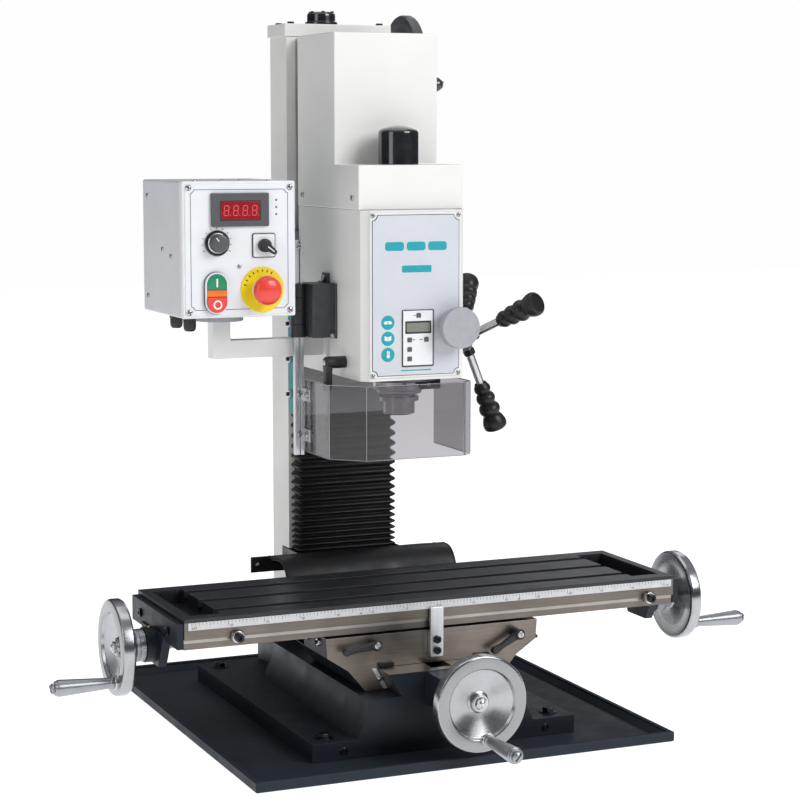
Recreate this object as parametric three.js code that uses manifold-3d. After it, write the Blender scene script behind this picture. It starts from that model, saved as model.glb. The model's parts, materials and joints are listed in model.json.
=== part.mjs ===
// Benchtop milling machine, in millimetres. +X runs along the table to the operator's right,
// +Y away from the operator, +Z up. The origin is on the underside of the drip tray, straight
// below the spindle axis.
import * as THREE from 'three';
import { mergeVertices } from 'three/addons/utils/BufferGeometryUtils.js';
import Module from 'manifold-3d';

const wasm = await Module();
wasm.setup();

// ---- driving dimensions -------------------------------------------------------------------
const GAP = 0.3;
const PLAY = 0.6;
const FINE = 28;
const ROUND = 20;
const SMALL = 14;

const TRAY = { halfX: 305, front: -253, back: 407, height: 14, floor: 3, lip: 8 };
const BASE = {
  footHalfX: 195, footTop: 28, front: -165, back: 320, bodyTop: 80, bodyHalfX: 114, flareHalfX: 132,
  wayTop: 112, wayLow: 66, wayHigh: 84, seatFront: 205, seatHalfX: 98, channelHalfX: 15, channelBack: 190,
};
const BASE_WALL = {
  wall: 16, roof: 16, rib: 8, wayHalfX: 100, wayBack: 190, wayRoof: 50, seatHalfX: 82, seatStart: 215,
};
const COLUMN = {
  halfX: 81, front: 224, back: 292, bottom: 112.4, top: 971, wallX: 21, cavityFront: 240, cavityBack: 281,
  slotHalfX: 30, railFront: 204, railLow: 54, railHigh: 66,
};
const HOLDER = { halfX: 156, bottom: 192, top: 215, front: 183, arm: 250, thick: 2 };
const TOP_PLATE = { halfX: 84, front: 222, back: 296, top: 990 };
const SCREW = { radius: 10, bore: 10.3 };
const Z_SCREW = { x: -12, y: 260, radius: 11, bottom: 125 };
const Z_SHAFT = { z: 945, radius: 8, bossEnd: 101 };

const SADDLE = {
  halfX: 158, front: -122, back: 75, top: 158, bottom: 80.5, shoulder: 131, legTop: 111, legHalfX: 126,
  legFoot: 100, underside: 112.5,
};
const COVER_SHEET = {
  front: 88, crest: 146, foot: 118, shoulder: 170, top: 226, thick: 3, halfX: 133, steps: 8,
};
const BELLOWS = { pleats: 12, deep: 189, shallow: 195, back: 222, halfX: 78, wellHalfX: 68, wellFront: 201 };
const TABLE = {
  left: -357, right: 374, front: -126, back: 84, top: 203, bottom: 161.5, ledge: 175, ledgeDepth: 4,
  slotPitch: 62, slotWidth: 14, slotNeck: 11, slotDepth: 20, slotFoot: 24, pocketWidth: 42, pocketInset: 14,
  pocketHalf: 84,
};
const TABLE_WAY = { low: 44, high: 50, top: 170 };
const X_AXIS = { y: -21, z: 150 };
const Y_AXIS = { z: 90, blockFront: -216 };
const TABLE_END = { plate: 9, boss: 25, bossRadius: 24 };
const DIAL = { radius: 22, left: 14, right: 18, front: 32, bore: 8.3 };
const WHEEL = { radius: 65, width: 18, hubBack: 12, offset: 49, pinRadius: 4, rim: 17, hub: 16 };
const GRIP = { length: 80, short: 58, collar: 9, neck: 7.5, belly: 10.8, tip: 11.4, clear: 4, screw: 7 };

const CARRIAGE = { halfX: 82, front: 187.3, back: 222, bottom: 420, top: 690, nutBottom: 600, nutTop: 660 };
const TILT = { z: 610, radius: 30, depth: 9 };
const HEAD = {
  halfX: 77, front: -58, back: 186.7, bottom: 494, top: 727, chamfer: 10.5, wall: 10, floor: 12,
  bossRadius: 44, bossTop: 700,
};
const COVER = { step: 788, top: 970, shelf: 43, front: -45, sheet: 3, halfX: 78 };
const PANEL = { halfX: 66, bottom: 500, top: 722, thick: 3 };
const READOUT = { left: -21, right: 26, bottom: 513, top: 591, thick: 2 };
const QUILL = { radius: 32, bottom: 470, top: 640, flangeRadius: 37, flangeTop: 491 };
const DEPTH_ROD = { x: 40, y: -28, radius: 4, top: 600 };
const SPINDLE = {
  nose: 441, noseRadius: 22.5, shaftRadius: 13, top: 812, socketMouth: 12, socketTop: 9, socket: 80,
};
const CAP = { radius: 28, top: 842, shoulder: 832, inner: 25 };
const DRIVE = {
  low: 735, high: 760, spindleRadius: 40, motorRadius: 22, shaftRadius: 7, shaftTop: 810,
  motorY: 115, bodyRadius: 50, bodyBottom: 778, bodyTop: 925,
};
const CAPSTAN = {
  y: 44, z: 538, hubEnd: 130, reach: 128.2, lean: 23, first: 34, arms: 3, rodRadius: 6, pinion: 11.7,
};
const FEED = { x: 56, z: 566, radius: 28.5, face: -89, back: -75, shaftRadius: 6 };
const LOCK = { y: 8, z: 516, radius: 5 };

const HINGE = { x: -122, y: 72, radius: 11, bottom: 547, top: 622 };
const RAIL = { halfX: 6.7, halfY: 4, bottom: 380, top: 683 };
const GUARD = {
  back: 75, front: -60, thick: 3, bottom: 385, top: 488,
  left: -113.5, leftSide: -19, leftCorner: -73, right: 90.5, rightSide: -45, rightCorner: 75.5,
};
const ARM = { x: -231.5, y: 94.5, half: 12.5, bottom: 519.5, top: 544.5, postTop: 572 };
const BOX = { halfX: 80.5, halfY: 91.5, bottom: 583, top: 767, sheet: 3 };
const BOX_FRONT = ARM.y - BOX.halfY;

// ---- materials ----------------------------------------------------------------------------
function finish(color, roughness, metalness) {
  return new THREE.MeshStandardMaterial({ color, roughness, metalness });
}
const M = {
  offWhite: finish(0xdcdcd4, 0.45, 0),
  slate: finish(0x232a36, 0.5, 0),
  charcoal: finish(0x3a3c40, 0.5, 0),
  teal: finish(0x12808c, 0.45, 0),
  iron: finish(0x6b6763, 0.35, 0.9),
  steel: finish(0xa9abad, 0.28, 1),
  aluminium: finish(0xc4c6c8, 0.3, 1),
  greyPaint: finish(0xb7bac0, 0.45, 0.1),
  rubber: finish(0x101113, 0.8, 0),
  black: finish(0x17181a, 0.4, 0),
  smoke: finish(0x6d6870, 0.15, 0),
  red: finish(0xd92b1e, 0.35, 0),
  green: finish(0x1f9a4a, 0.4, 0),
  boxGrey: finish(0xc9ccd0, 0.45, 0.1),
};

// ---- geometry helpers ---------------------------------------------------------------------
const box = (x0, x1, y0, y1, z0, z1) => new THREE.BoxGeometry(x1 - x0, y1 - y0, z1 - z0)
  .translate((x0 + x1) / 2, (y0 + y1) / 2, (z0 + z1) / 2);

// A cylinder built along Y is turned so that it runs along the named axis.
function align(geometry, axis) {
  if (axis === 'x') return geometry.rotateZ(-Math.PI / 2);
  if (axis === 'z') return geometry.rotateX(Math.PI / 2);
  return geometry;
}

function rod(axis, radius, from, to, a = 0, b = 0, sides = ROUND) {
  const g = align(new THREE.CylinderGeometry(radius, radius, to - from, sides), axis);
  const mid = (from + to) / 2;
  if (axis === 'x') return g.translate(mid, a, b);
  if (axis === 'y') return g.translate(a, mid, b);
  return g.translate(a, b, mid);
}

// A turned piece: its profile is a list of [radius, height], and its axis is the named one.
function turned(profile, axis = 'z', sides = ROUND) {
  const g = new THREE.LatheGeometry(profile.map(([r, h]) => new THREE.Vector2(r, h)), sides);
  return align(g, axis);
}

// A prism: an outline in the plane across the axis, pulled from one place on the axis to another.
function prism(axis, outline, from, to, holes = []) {
  const shape = new THREE.Shape(outline.map(([a, b]) => new THREE.Vector2(a, b)));
  for (const hole of holes) shape.holes.push(new THREE.Path(hole.map(([a, b]) => new THREE.Vector2(a, b))));
  const g = new THREE.ExtrudeGeometry(shape, { depth: to - from, bevelEnabled: false, curveSegments: 12 });
  if (axis === 'x') return g.rotateX(Math.PI / 2).rotateZ(Math.PI / 2).translate(from, 0, 0);
  if (axis === 'y') return g.rotateX(Math.PI / 2).translate(0, to, 0);
  return g.translate(0, 0, from);
}

// An outline given for one side of the Z axis, mirrored to both sides.
const mirrored = (half) => [...half, ...half.slice().reverse().map(([a, b]) => [-a, b])];

function solid(geometry) {
  const bare = geometry.clone();
  bare.deleteAttribute('normal');
  bare.deleteAttribute('uv');
  const g = mergeVertices(bare, 1e-4);
  const triVerts = Uint32Array.from(g.index.array);
  const vertProperties = Float32Array.from(g.attributes.position.array);
  return new wasm.Manifold(new wasm.Mesh({ numProp: 3, vertProperties, triVerts }));
}

function geometryOf(manifold) {
  const mesh = manifold.getMesh();
  const g = new THREE.BufferGeometry();
  g.setAttribute('position', new THREE.BufferAttribute(Float32Array.from(mesh.vertProperties), 3));
  g.setIndex(new THREE.BufferAttribute(Uint32Array.from(mesh.triVerts), 1));
  g.computeVertexNormals();
  return g;
}

const join = (...parts) => geometryOf(parts.map(solid).reduce((a, b) => a.add(b)));
const cut = (body, ...tools) => geometryOf(tools.map(solid).reduce((a, b) => a.subtract(b), solid(body)));

const machine = new THREE.Group();

function add(name, geometry, material, at = [0, 0, 0], turn = [0, 0, 0], parent = machine) {
  const mesh = new THREE.Mesh(geometry, material);
  mesh.name = name;
  mesh.position.set(...at);
  mesh.rotation.set(...turn);
  parent.add(mesh);
  return mesh;
}

// ---- base and column ----------------------------------------------------------------------
function dripTray() {
  const { halfX, front, back, height, floor, lip } = TRAY;
  const shell = box(-halfX, halfX, front, back, 0, height);
  return cut(shell, box(-halfX + lip, halfX - lip, front + lip, back - lip, floor, height + 1));
}

// The flank between foot and ways is a hollow curve.
function flank() {
  const points = [];
  const steps = 5;
  for (let i = 0; i <= steps; i += 1) {
    const t = i / steps;
    const x = BASE.flareHalfX - (BASE.flareHalfX - BASE.bodyHalfX) * Math.sin(t * Math.PI / 2);
    points.push([x, BASE.footTop - 1 + (BASE.bodyTop - BASE.footTop + 1) * t]);
  }
  return points;
}

function baseCasting() {
  const { footHalfX, footTop, front, back, wayTop, wayLow, wayHigh } = BASE;
  const foot = box(-footHalfX, footHalfX, front, back, TRAY.floor + GAP, footTop);
  const ways = [[wayLow, BASE.bodyTop], [wayHigh, wayTop]];
  const body = prism('y', mirrored([...flank(), ...ways]), front, BASE.seatFront + 1);
  const seat = box(-BASE.seatHalfX, BASE.seatHalfX, BASE.seatFront, back, footTop - 1, wayTop);
  const block = box(-30, 30, Y_AXIS.blockFront, front + 1, 66, wayTop - 1);
  const channel = box(-BASE.channelHalfX, BASE.channelHalfX, front + 15, BASE.channelBack, 62, wayTop + 1);
  const bore = rod('y', SCREW.bore, Y_AXIS.blockFront - 1, front + 20, 0, Y_AXIS.z);
  return cut(join(foot, body, seat, block), channel, bore, ...baseHollow(-1), ...baseHollow(1));
}

// The two hollows under one side of the casting, below the ways and below the column seat.
function baseHollow(side) {
  const { wall, roof, rib, wayHalfX, seatHalfX, wayBack, seatStart, wayRoof } = BASE_WALL;
  const width = (halfX) => [halfX - rib, side * (halfX + rib) / 2];
  const [wayWidth, wayMiddle] = width(wayHalfX);
  const [seatWidth, seatMiddle] = width(seatHalfX);
  const under = (middle, across, front, back, top) => (
    box(middle - across / 2, middle + across / 2, front, back, 0, top)
  );
  return [
    under(wayMiddle, wayWidth, BASE.front + wall, wayBack, wayRoof),
    under(seatMiddle, seatWidth, seatStart, BASE.back - wall, BASE.wayTop - roof),
  ];
}

function column() {
  const { halfX, front, back, bottom, top, cavityFront, cavityBack, slotHalfX, railFront } = COLUMN;
  const inside = halfX - COLUMN.wallX;
  const skin = prism('z', mirrored([
    [slotHalfX, cavityFront + 1], [slotHalfX, railFront], [COLUMN.railHigh, railFront],
    [COLUMN.railLow, front], [halfX, front], [halfX, back],
  ]), bottom, top);
  const cavity = box(-inside, inside, cavityFront, cavityBack, bottom - 1, top + 1);
  const boss = rod('x', 24, inside + 5, Z_SHAFT.bossEnd, Z_SCREW.y, Z_SHAFT.z, ROUND);
  const bore = rod('x', Z_SHAFT.radius + GAP, inside - 5, Z_SHAFT.bossEnd + 1, Z_SCREW.y, Z_SHAFT.z, SMALL);
  return cut(join(skin, boss, coverHolder()), cavity, bore);
}

// Bent strap that goes round the bellows and holds the back edge of the way cover.
function coverHolder() {
  const { halfX, bottom, top, front, arm, thick } = HOLDER;
  const bar = box(-halfX, halfX, front, front + thick, bottom, top);
  const strap = (x) => box(x - thick / 2, x + thick / 2, front, arm, bottom, top);
  const edge = COLUMN.halfX + thick / 4;
  return join(bar, strap(edge), strap(-edge));
}

function topPlate() {
  const { halfX, front, back, top } = TOP_PLATE;
  const plate = box(-halfX, halfX, front, back, COLUMN.top + GAP, top);
  return cut(plate, rod('z', Z_SHAFT.radius + GAP, COLUMN.top, top + 1, Z_SCREW.x, Z_SCREW.y));
}

function bearingCap() {
  const z = TOP_PLATE.top + GAP;
  return turned([
    [0, z + 16], [14, z + 16], [14, z], [24, z], [24, z + 4], [21, z + 4], [21, z + 19], [0, z + 19],
  ]);
}

// Folded rubber in front of the column ways, below the carriage.
function bellows() {
  const { pleats, deep, shallow, back, halfX, wellHalfX, wellFront } = BELLOWS;
  const bottom = COLUMN.bottom + GAP;
  const top = CARRIAGE.bottom - GAP;
  const outline = [[back, top], [back, bottom]];
  for (let i = 0; i <= 2 * pleats; i += 1) {
    outline.push([i % 2 ? shallow : deep, bottom + (top - bottom) * i / (2 * pleats)]);
  }
  const well = box(-wellHalfX, wellHalfX, wellFront, back + 1, bottom - 1, top + 1);
  return cut(prism('x', outline, -halfX, halfX), well);
}

// Rubber sheet that rises from the back of the saddle over the ways and falls a little to the strap.
function wayCover() {
  const { front, crest, foot, shoulder, top, thick, halfX, steps } = COVER_SHEET;
  const seam = SADDLE.back + GAP;
  const outer = [[seam, foot], [seam, foot + thick], [front, foot + thick]];
  const inner = [[front + thick, foot]];
  for (let i = 0; i <= steps; i += 1) {
    const a = (Math.PI / 2) * (i / steps);
    const reach = crest - front;
    const rise = top - shoulder;
    outer.push([crest - reach * Math.cos(a), shoulder + rise * Math.sin(a)]);
    inner.push([crest - (reach - thick) * Math.cos(a), shoulder + (rise - thick) * Math.sin(a)]);
  }
  const back = HOLDER.front - GAP;
  outer.push([back, HOLDER.top]);
  inner.push([back, HOLDER.top - thick]);
  return prism('x', [...outer, ...inner.reverse()], -halfX, halfX);
}

// ---- saddle -------------------------------------------------------------------------------
function saddle() {
  const { halfX, front, back, top, bottom, shoulder, legTop, legHalfX, legFoot, underside } = SADDLE;
  const body = prism('y', mirrored([
    [halfX, top], [halfX - 2, shoulder], [legHalfX, legTop], [legFoot, bottom],
    [BASE.wayLow + PLAY, bottom], [BASE.wayHigh + PLAY, underside],
  ]), front, back);
  const y = X_AXIS.y;
  const way = prism('x', [
    [y - TABLE_WAY.low, top - 1], [y + TABLE_WAY.low, top - 1], [y + TABLE_WAY.high, TABLE_WAY.top],
    [y - TABLE_WAY.high, TABLE_WAY.top],
  ], -halfX, halfX);
  const channel = box(-halfX - 1, halfX + 1, y - 14, y + 14, 132, TABLE_WAY.top + 1);
  const nut = box(-18, 18, y - 15, y + 15, 131, TABLE_WAY.top - 2);
  const yNut = box(-13.5, 13.5, y - 20, y + 20, 78, underside + 1);
  const xBore = rod('x', SCREW.bore, -20, 20, y, X_AXIS.z);
  const yBore = rod('y', SCREW.bore, y - 22, y + 22, 0, Y_AXIS.z);
  return cut(join(cut(join(body, way), channel), nut, yNut), xBore, yBore);
}

function centreStop() {
  const foot = box(-9.5, 9.5, SADDLE.front - 12, SADDLE.front - GAP, 122, 157);
  const finger = box(-9.5, 9.5, SADDLE.front - 12, TABLE.front - 2, 150, 191);
  return join(foot, finger);
}

// Clamp lever: a round hub along Y with a flat arm, built around its own axis.
function clampLever(reach) {
  const hub = rod('y', 6.5, -18, 0, 0, 0, SMALL);
  const arm = box(-reach, 0, -17, -10, -4, 4);
  const knob = rod('y', 6, -17.5, -9.5, -reach, 0, 16);
  return join(hub, arm, knob);
}

function saddleLock() {
  const arm = prism('x', [[-34, -10], [-30, -14], [5, -5], [5, 5], [-5, 5]], 7, 13);
  return join(rod('x', 6.5, 0, 14, 0, 0, SMALL), arm);
}

// ---- table --------------------------------------------------------------------------------
function table() {
  const { left, right, front, back, top, bottom, ledge, ledgeDepth } = TABLE;
  const y = X_AXIS.y;
  const play = 2.3;
  const outline = [
    [front, top], [front, ledge], [front + ledgeDepth, ledge], [front + ledgeDepth, bottom],
    [y - TABLE_WAY.low - play, bottom], [y - TABLE_WAY.high - play / 2, TABLE_WAY.top + GAP * 2],
    [y + TABLE_WAY.high + play / 2, TABLE_WAY.top + GAP * 2], [y + TABLE_WAY.low + play, bottom],
    [back, bottom], [back, top],
  ];
  const tools = [-1, 0, 1].flatMap((n) => tSlot(y + n * TABLE.slotPitch));
  const { pocketWidth, pocketInset } = TABLE;
  const pocket = (x) => (
    box(x, x + pocketWidth, y - TABLE.pocketHalf, y + TABLE.pocketHalf, top - TABLE.slotDepth, top + 1)
  );
  const pockets = [pocket(left + pocketInset), pocket(right - pocketInset - pocketWidth)];
  return cut(prism('x', outline, left, right), ...tools, ...pockets);
}

function tSlot(y) {
  const { top, slotWidth, slotNeck, slotDepth, slotFoot, pocketInset, pocketWidth } = TABLE;
  const x0 = TABLE.left + pocketInset + pocketWidth / 2;
  const x1 = TABLE.right - pocketInset - pocketWidth / 2;
  return [
    box(x0, x1, y - slotWidth / 2, y + slotWidth / 2, top - slotNeck - 1, top + 1),
    box(x0, x1, y - slotFoot / 2, y + slotFoot / 2, top - slotDepth, top - slotNeck),
  ];
}

function scaleStrip() {
  return box(TABLE.left + 5, TABLE.right - 4, TABLE.front - 1 - GAP, TABLE.front - GAP, 188, 198);
}

// End bracket, built for the left end with its face at x = 0 and its boss towards -X.
function endBracket() {
  const { plate, boss, bossRadius } = TABLE_END;
  const y = X_AXIS.y;
  const bar = box(-plate, -GAP, TABLE.front + 2, TABLE.back - 2, 163, 197);
  const drop = prism('x', [[y - 52, 170], [y - 26, 124], [y + 26, 124], [y + 52, 170]], -plate - 3, -GAP);
  const nose = rod('x', bossRadius, -boss, -plate, y, X_AXIS.z);
  return cut(join(bar, drop, nose), rod('x', SCREW.bore, -boss - 1, 1, y, X_AXIS.z));
}

function tableStop() {
  return join(rod('y', 7.5, -13, 0, 0, 0, ROUND), box(-9, 9, -5, 0, -6, 6));
}

// ---- handwheels ---------------------------------------------------------------------------
// Handwheel around X, its face towards +X at x = width; the crank pin stands on the face.
function handwheel(radius, gripLength) {
  const { width, hubBack, offset, pinRadius, rim, hub } = WHEEL;
  const bore = DIAL.bore;
  const inner = radius - rim;
  const profile = [
    [bore, -hubBack], [hub + 1, -hubBack], [hub + 2, -3], [inner, 2], [radius - 2, 0], [radius, 3],
    [radius, width - 2], [radius - 2, width], [inner, width], [inner - 2, width - 6], [hub + 2, 4],
    [hub, 10], [bore, 10], [bore, -hubBack],
  ];
  const wheel = turned(profile, 'x', FINE);
  const end = width + gripLength + GRIP.clear + 3;
  const pin = rod('x', pinRadius, width - 5, end + 3, -offset, 0, SMALL);
  const head = rod('x', GRIP.screw, end, end + 3, -offset, 0, SMALL);
  return join(wheel, pin, head);
}

// Hollow grip that turns on the crank pin.
function crankGrip(length) {
  const { collar, neck, belly, tip } = GRIP;
  const inner = WHEEL.pinRadius + GAP;
  return turned([
    [inner, 0], [collar, 0], [neck, 8], [belly, length * 0.6], [tip, length - 2], [inner, length], [inner, 0],
  ], 'x', SMALL);
}

function dial(length, bore = DIAL.bore) {
  const { radius } = DIAL;
  return turned([[bore, 0], [radius, 0], [radius, length], [bore, length], [bore, 0]], 'x', ROUND);
}

// Puts a wheel and its grip on an axis. The turn takes +X to the direction in which the face looks, and
// the phase turns the crank on its axis: at DOWN it hangs straight below.
const DOWN = Math.PI / 2;
const ALL_BRIGHT = { radius: WHEEL.radius, length: GRIP.length, wheel: M.aluminium, grip: M.aluminium };
const ALL_BLACK = { radius: 62.5, length: GRIP.short, wheel: M.charcoal, grip: M.black };
function crank(name, at, turn, phase, make = ALL_BRIGHT) {
  const hub = new THREE.Group();
  hub.position.set(...at);
  hub.rotation.set(...turn);
  machine.add(hub);
  const spin = new THREE.Group();
  spin.rotation.x = phase;
  hub.add(spin);
  add(`${name}_wheel`, handwheel(make.radius, make.length), make.wheel, [0, 0, 0], [0, 0, 0], spin);
  const grip = [WHEEL.width + GRIP.clear, -WHEEL.offset, 0];
  add(`${name}_grip`, crankGrip(make.length), make.grip, grip, [0, 0, 0], spin);
}

// A feed screw carries a wheel on a thinner seat at its end, with a nut in front of the wheel.
const SEAT = { radius: 8, nut: 6, nutLength: 6, proud: 11 };

function xScrew() {
  const reach = (dialLength) => TABLE_END.boss + dialLength + WHEEL.hubBack + SEAT.proud;
  const left = TABLE.left - reach(DIAL.left);
  const right = TABLE.right + reach(DIAL.right);
  const inner = TABLE_END.boss - 4;
  return turned([
    [0, left - SEAT.nutLength], [SEAT.nut, left - SEAT.nutLength], [SEAT.nut, left], [SEAT.radius, left],
    [SEAT.radius, TABLE.left - inner], [SCREW.radius, TABLE.left - inner],
    [SCREW.radius, TABLE.right + inner], [SEAT.radius, TABLE.right + inner], [SEAT.radius, right],
    [SEAT.nut, right],
    [SEAT.nut, right + SEAT.nutLength], [0, right + SEAT.nutLength],
  ], 'x', SMALL);
}

function yScrew() {
  const shoulder = Y_AXIS.blockFront + 4;
  const front = Y_AXIS.blockFront - DIAL.front - WHEEL.hubBack - SEAT.proud;
  const back = BASE.channelBack - 5;
  return turned([
    [0, front - SEAT.nutLength], [SEAT.nut, front - SEAT.nutLength], [SEAT.nut, front], [SEAT.radius, front],
    [SEAT.radius, shoulder], [SCREW.radius, shoulder], [SCREW.radius, back], [0, back],
  ], 'y', SMALL);
}

// ---- vertical feed ------------------------------------------------------------------------
function zShaft() {
  const outer = Z_SHAFT.bossEnd + WHEEL.hubBack + 12;
  const near = Z_SCREW.x + 17;
  const { radius } = Z_SHAFT;
  return turned([
    [0, near], [8, near], [16, near + 8], [16, near + 14], [radius, near + 14], [radius, outer],
    [SEAT.nut, outer], [SEAT.nut, outer + SEAT.nutLength], [0, outer + SEAT.nutLength],
  ], 'x', SMALL);
}

function zScrew() {
  const gear = Z_SHAFT.z - 17;
  const r = Z_SCREW.radius;
  const end = TOP_PLATE.top + 14;
  return turned([
    [0, Z_SCREW.bottom], [r, Z_SCREW.bottom], [r, gear - 14], [16, gear - 14], [16, gear - 8], [8, gear],
    [8, end], [0, end],
  ], 'z', SMALL);
}

function carriage() {
  const { halfX, front, back, bottom, top, nutBottom, nutTop } = CARRIAGE;
  const plate = box(-halfX, halfX, front, back, bottom, top);
  const groove = prism('z', mirrored([
    [COLUMN.railHigh + PLAY, COLUMN.railFront - PLAY], [COLUMN.railLow + PLAY, back + 1],
  ]), bottom - 1, top + 1);
  const spigot = rod('y', TILT.radius, front - TILT.depth, front + 1, 0, TILT.z, FINE);
  const { x, y } = Z_SCREW;
  const bridge = box(x - 10, x + 30, COLUMN.railFront - 2, y - 8, nutBottom, nutTop);
  const nut = rod('z', 19, nutBottom, nutTop, x, y, ROUND);
  const bore = rod('z', Z_SCREW.radius + GAP, nutBottom - 1, nutTop + 1, x, y, ROUND);
  return cut(join(cut(plate, groove), spigot, bridge, nut), bore);
}

// ---- head ---------------------------------------------------------------------------------
function headCasting() {
  const { halfX, front, back, bottom, top, chamfer, wall, floor, bossRadius, bossTop } = HEAD;
  const outline = mirrored([[halfX - chamfer, front], [halfX, front + chamfer], [halfX, back]]);
  const inner = mirrored([
    [halfX - chamfer - wall, front + 18], [halfX - wall, front + 28], [halfX - wall, back - wall],
  ]);
  const shell = cut(prism('z', outline, bottom, top), prism('z', inner, bottom + floor, top + 1));
  const boss = rod('z', bossRadius, bottom + 2, bossTop, 0, 0, FINE);
  return cut(
    join(shell, boss),
    rod('z', QUILL.radius + GAP, bottom - 1, bossTop + 1, 0, 0, FINE),
    box(-31, 31, 26, 60, CAPSTAN.z - 18, CAPSTAN.z + 18),
    rod('x', CAPSTAN.pinion + GAP, 50, halfX + 1, CAPSTAN.y, CAPSTAN.z),
    rod('y', FEED.shaftRadius + GAP, front - 1, front + 30, FEED.x, FEED.z, SMALL),
    rod('y', TILT.radius + GAP, back - wall - 1, back + 1, 0, TILT.z, FINE),
    rod('x', LOCK.radius + GAP, -halfX - 1, -28, LOCK.y, LOCK.z, SMALL),
    rod('z', DEPTH_ROD.radius + GAP, bottom - 1, bottom + floor + 1, DEPTH_ROD.x, DEPTH_ROD.y, SMALL),
  );
}

function headCover() {
  const { step, top, shelf, front, sheet, halfX } = COVER;
  const back = HEAD.back;
  const bottom = HEAD.top + GAP;
  const outer = [[front, bottom], [back, bottom], [back, top], [shelf, top], [shelf, step], [front, step]];
  const inner = [
    [front + sheet, bottom - 1], [back - sheet, bottom - 1], [back - sheet, top - sheet],
    [shelf + sheet, top - sheet], [shelf + sheet, step - sheet], [front + sheet, step - sheet],
  ];
  return cut(
    prism('x', outer, -halfX, halfX), prism('x', inner, -halfX + sheet, halfX - sheet),
    rod('z', CAP.inner - 2, step - 10, step + 1),
  );
}

function frontPanel() {
  const { halfX, bottom, top, thick } = PANEL;
  const face = HEAD.front - GAP;
  const plate = box(-halfX, halfX, face - thick, face, bottom, top);
  const { left, right } = READOUT;
  const readout = box(left, right, face - thick - READOUT.thick, face - 1, READOUT.bottom, READOUT.top);
  return cut(join(plate, readout), rod('y', 7.5, face - thick - 1, face + 1, FEED.x, FEED.z, SMALL));
}

function drawbarCap() {
  const { radius, top, shoulder, inner } = CAP;
  const base = COVER.step + GAP;
  return turned([
    [0, top - 4], [inner - 6, shoulder - 1], [inner, shoulder - 6], [inner, base], [radius, base],
    [radius, shoulder - 2], [radius - 5, shoulder + 4], [radius * 0.5, top - 1.5], [0, top],
  ]);
}

function driveMotor() {
  const { motorY, bodyRadius, bodyBottom, bodyTop, shaftRadius, shaftTop } = DRIVE;
  const can = rod('z', bodyRadius, bodyBottom, bodyTop, 0, motorY, FINE);
  const plate = box(-68, 68, 54, 176, bodyBottom - 10, bodyBottom + 1);
  const wallFace = HEAD.back - HEAD.wall - GAP;
  const leg = box(-66, 66, wallFace - 12, wallFace, HEAD.top - 15, bodyBottom - 9);
  return cut(join(can, plate, leg), rod('z', shaftRadius + GAP, DRIVE.high, shaftTop + 2, 0, motorY, ROUND));
}

function motorPulley() {
  const { low, high, motorRadius, shaftRadius, shaftTop } = DRIVE;
  return turned([
    [0, low], [motorRadius, low], [motorRadius, high], [shaftRadius, high], [shaftRadius, shaftTop],
    [0, shaftTop],
  ]);
}

function spindlePulley() {
  const { low, high, spindleRadius } = DRIVE;
  const bore = SPINDLE.shaftRadius + GAP;
  const seat = HEAD.bossTop + GAP;
  return turned([
    [bore, seat], [26, seat], [26, low], [spindleRadius, low], [spindleRadius, high], [bore, high],
    [bore, seat],
  ]);
}

// Quill with its flange and the depth gauge arm and rod beside it.
function quill() {
  const { radius, bottom, top, flangeRadius, flangeTop } = QUILL;
  const { x, y } = DEPTH_ROD;
  const arm = box(22, x + 9, y - 8, y + 14, flangeTop - 13, flangeTop);
  const body = join(
    rod('z', radius, bottom, top, 0, 0, FINE),
    rod('z', flangeRadius, bottom + 6, flangeTop, 0, 0, FINE),
    arm,
    rod('z', DEPTH_ROD.radius, flangeTop - 2, DEPTH_ROD.top, x, y, SMALL),
  );
  return cut(body, rod('z', SPINDLE.noseRadius + GAP, bottom - 1, top + 1, 0, 0, ROUND));
}

function spindle() {
  const { nose, noseRadius, shaftRadius, top, socketMouth, socketTop, socket } = SPINDLE;
  const low = QUILL.bottom - 4;
  return turned([
    [0, nose + socket], [socketTop, nose + socket], [socketMouth, nose], [noseRadius - 1, nose],
    [noseRadius, nose + 1], [noseRadius, low - 6], [28, low - 6], [28, low], [noseRadius, low],
    [noseRadius, QUILL.top], [shaftRadius, QUILL.top], [shaftRadius, 780], [9, 780], [9, top], [0, top],
  ]);
}

// ---- controls on the head -----------------------------------------------------------------
function capstanArm(phase, geometry) {
  const lean = THREE.MathUtils.degToRad(CAPSTAN.lean);
  return geometry.rotateZ(-lean).rotateX(phase);
}

// Hub, pinion shaft and the three leaning rods, around X with the origin where the rods meet.
function capstanHub() {
  const { hubEnd, pinion, rodRadius, reach } = CAPSTAN;
  const out = HEAD.halfX + GAP - hubEnd;
  const profile = [
    [0, -hubEnd - 16], [pinion, -hubEnd - 16], [pinion, 48 - hubEnd], [18, 48 - hubEnd], [18, 64 - hubEnd],
    [pinion, 64 - hubEnd], [pinion, out], [25, out], [25, out + 8], [19, out + 12], [19, -8], [15, 0], [0, 0],
  ];
  const rods = Array.from({ length: CAPSTAN.arms }, (_, n) => {
    const arm = new THREE.CylinderGeometry(rodRadius, rodRadius, reach + 4, SMALL);
    arm.translate(0, (reach + 4) / 2, 0);
    return capstanArm(armAngle(n), arm).translate(-8, 0, 0);
  });
  return join(turned(profile, 'x'), ...rods);
}

const armAngle = (n) => THREE.MathUtils.degToRad(CAPSTAN.first) + (2 * Math.PI * n) / CAPSTAN.arms;

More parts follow.
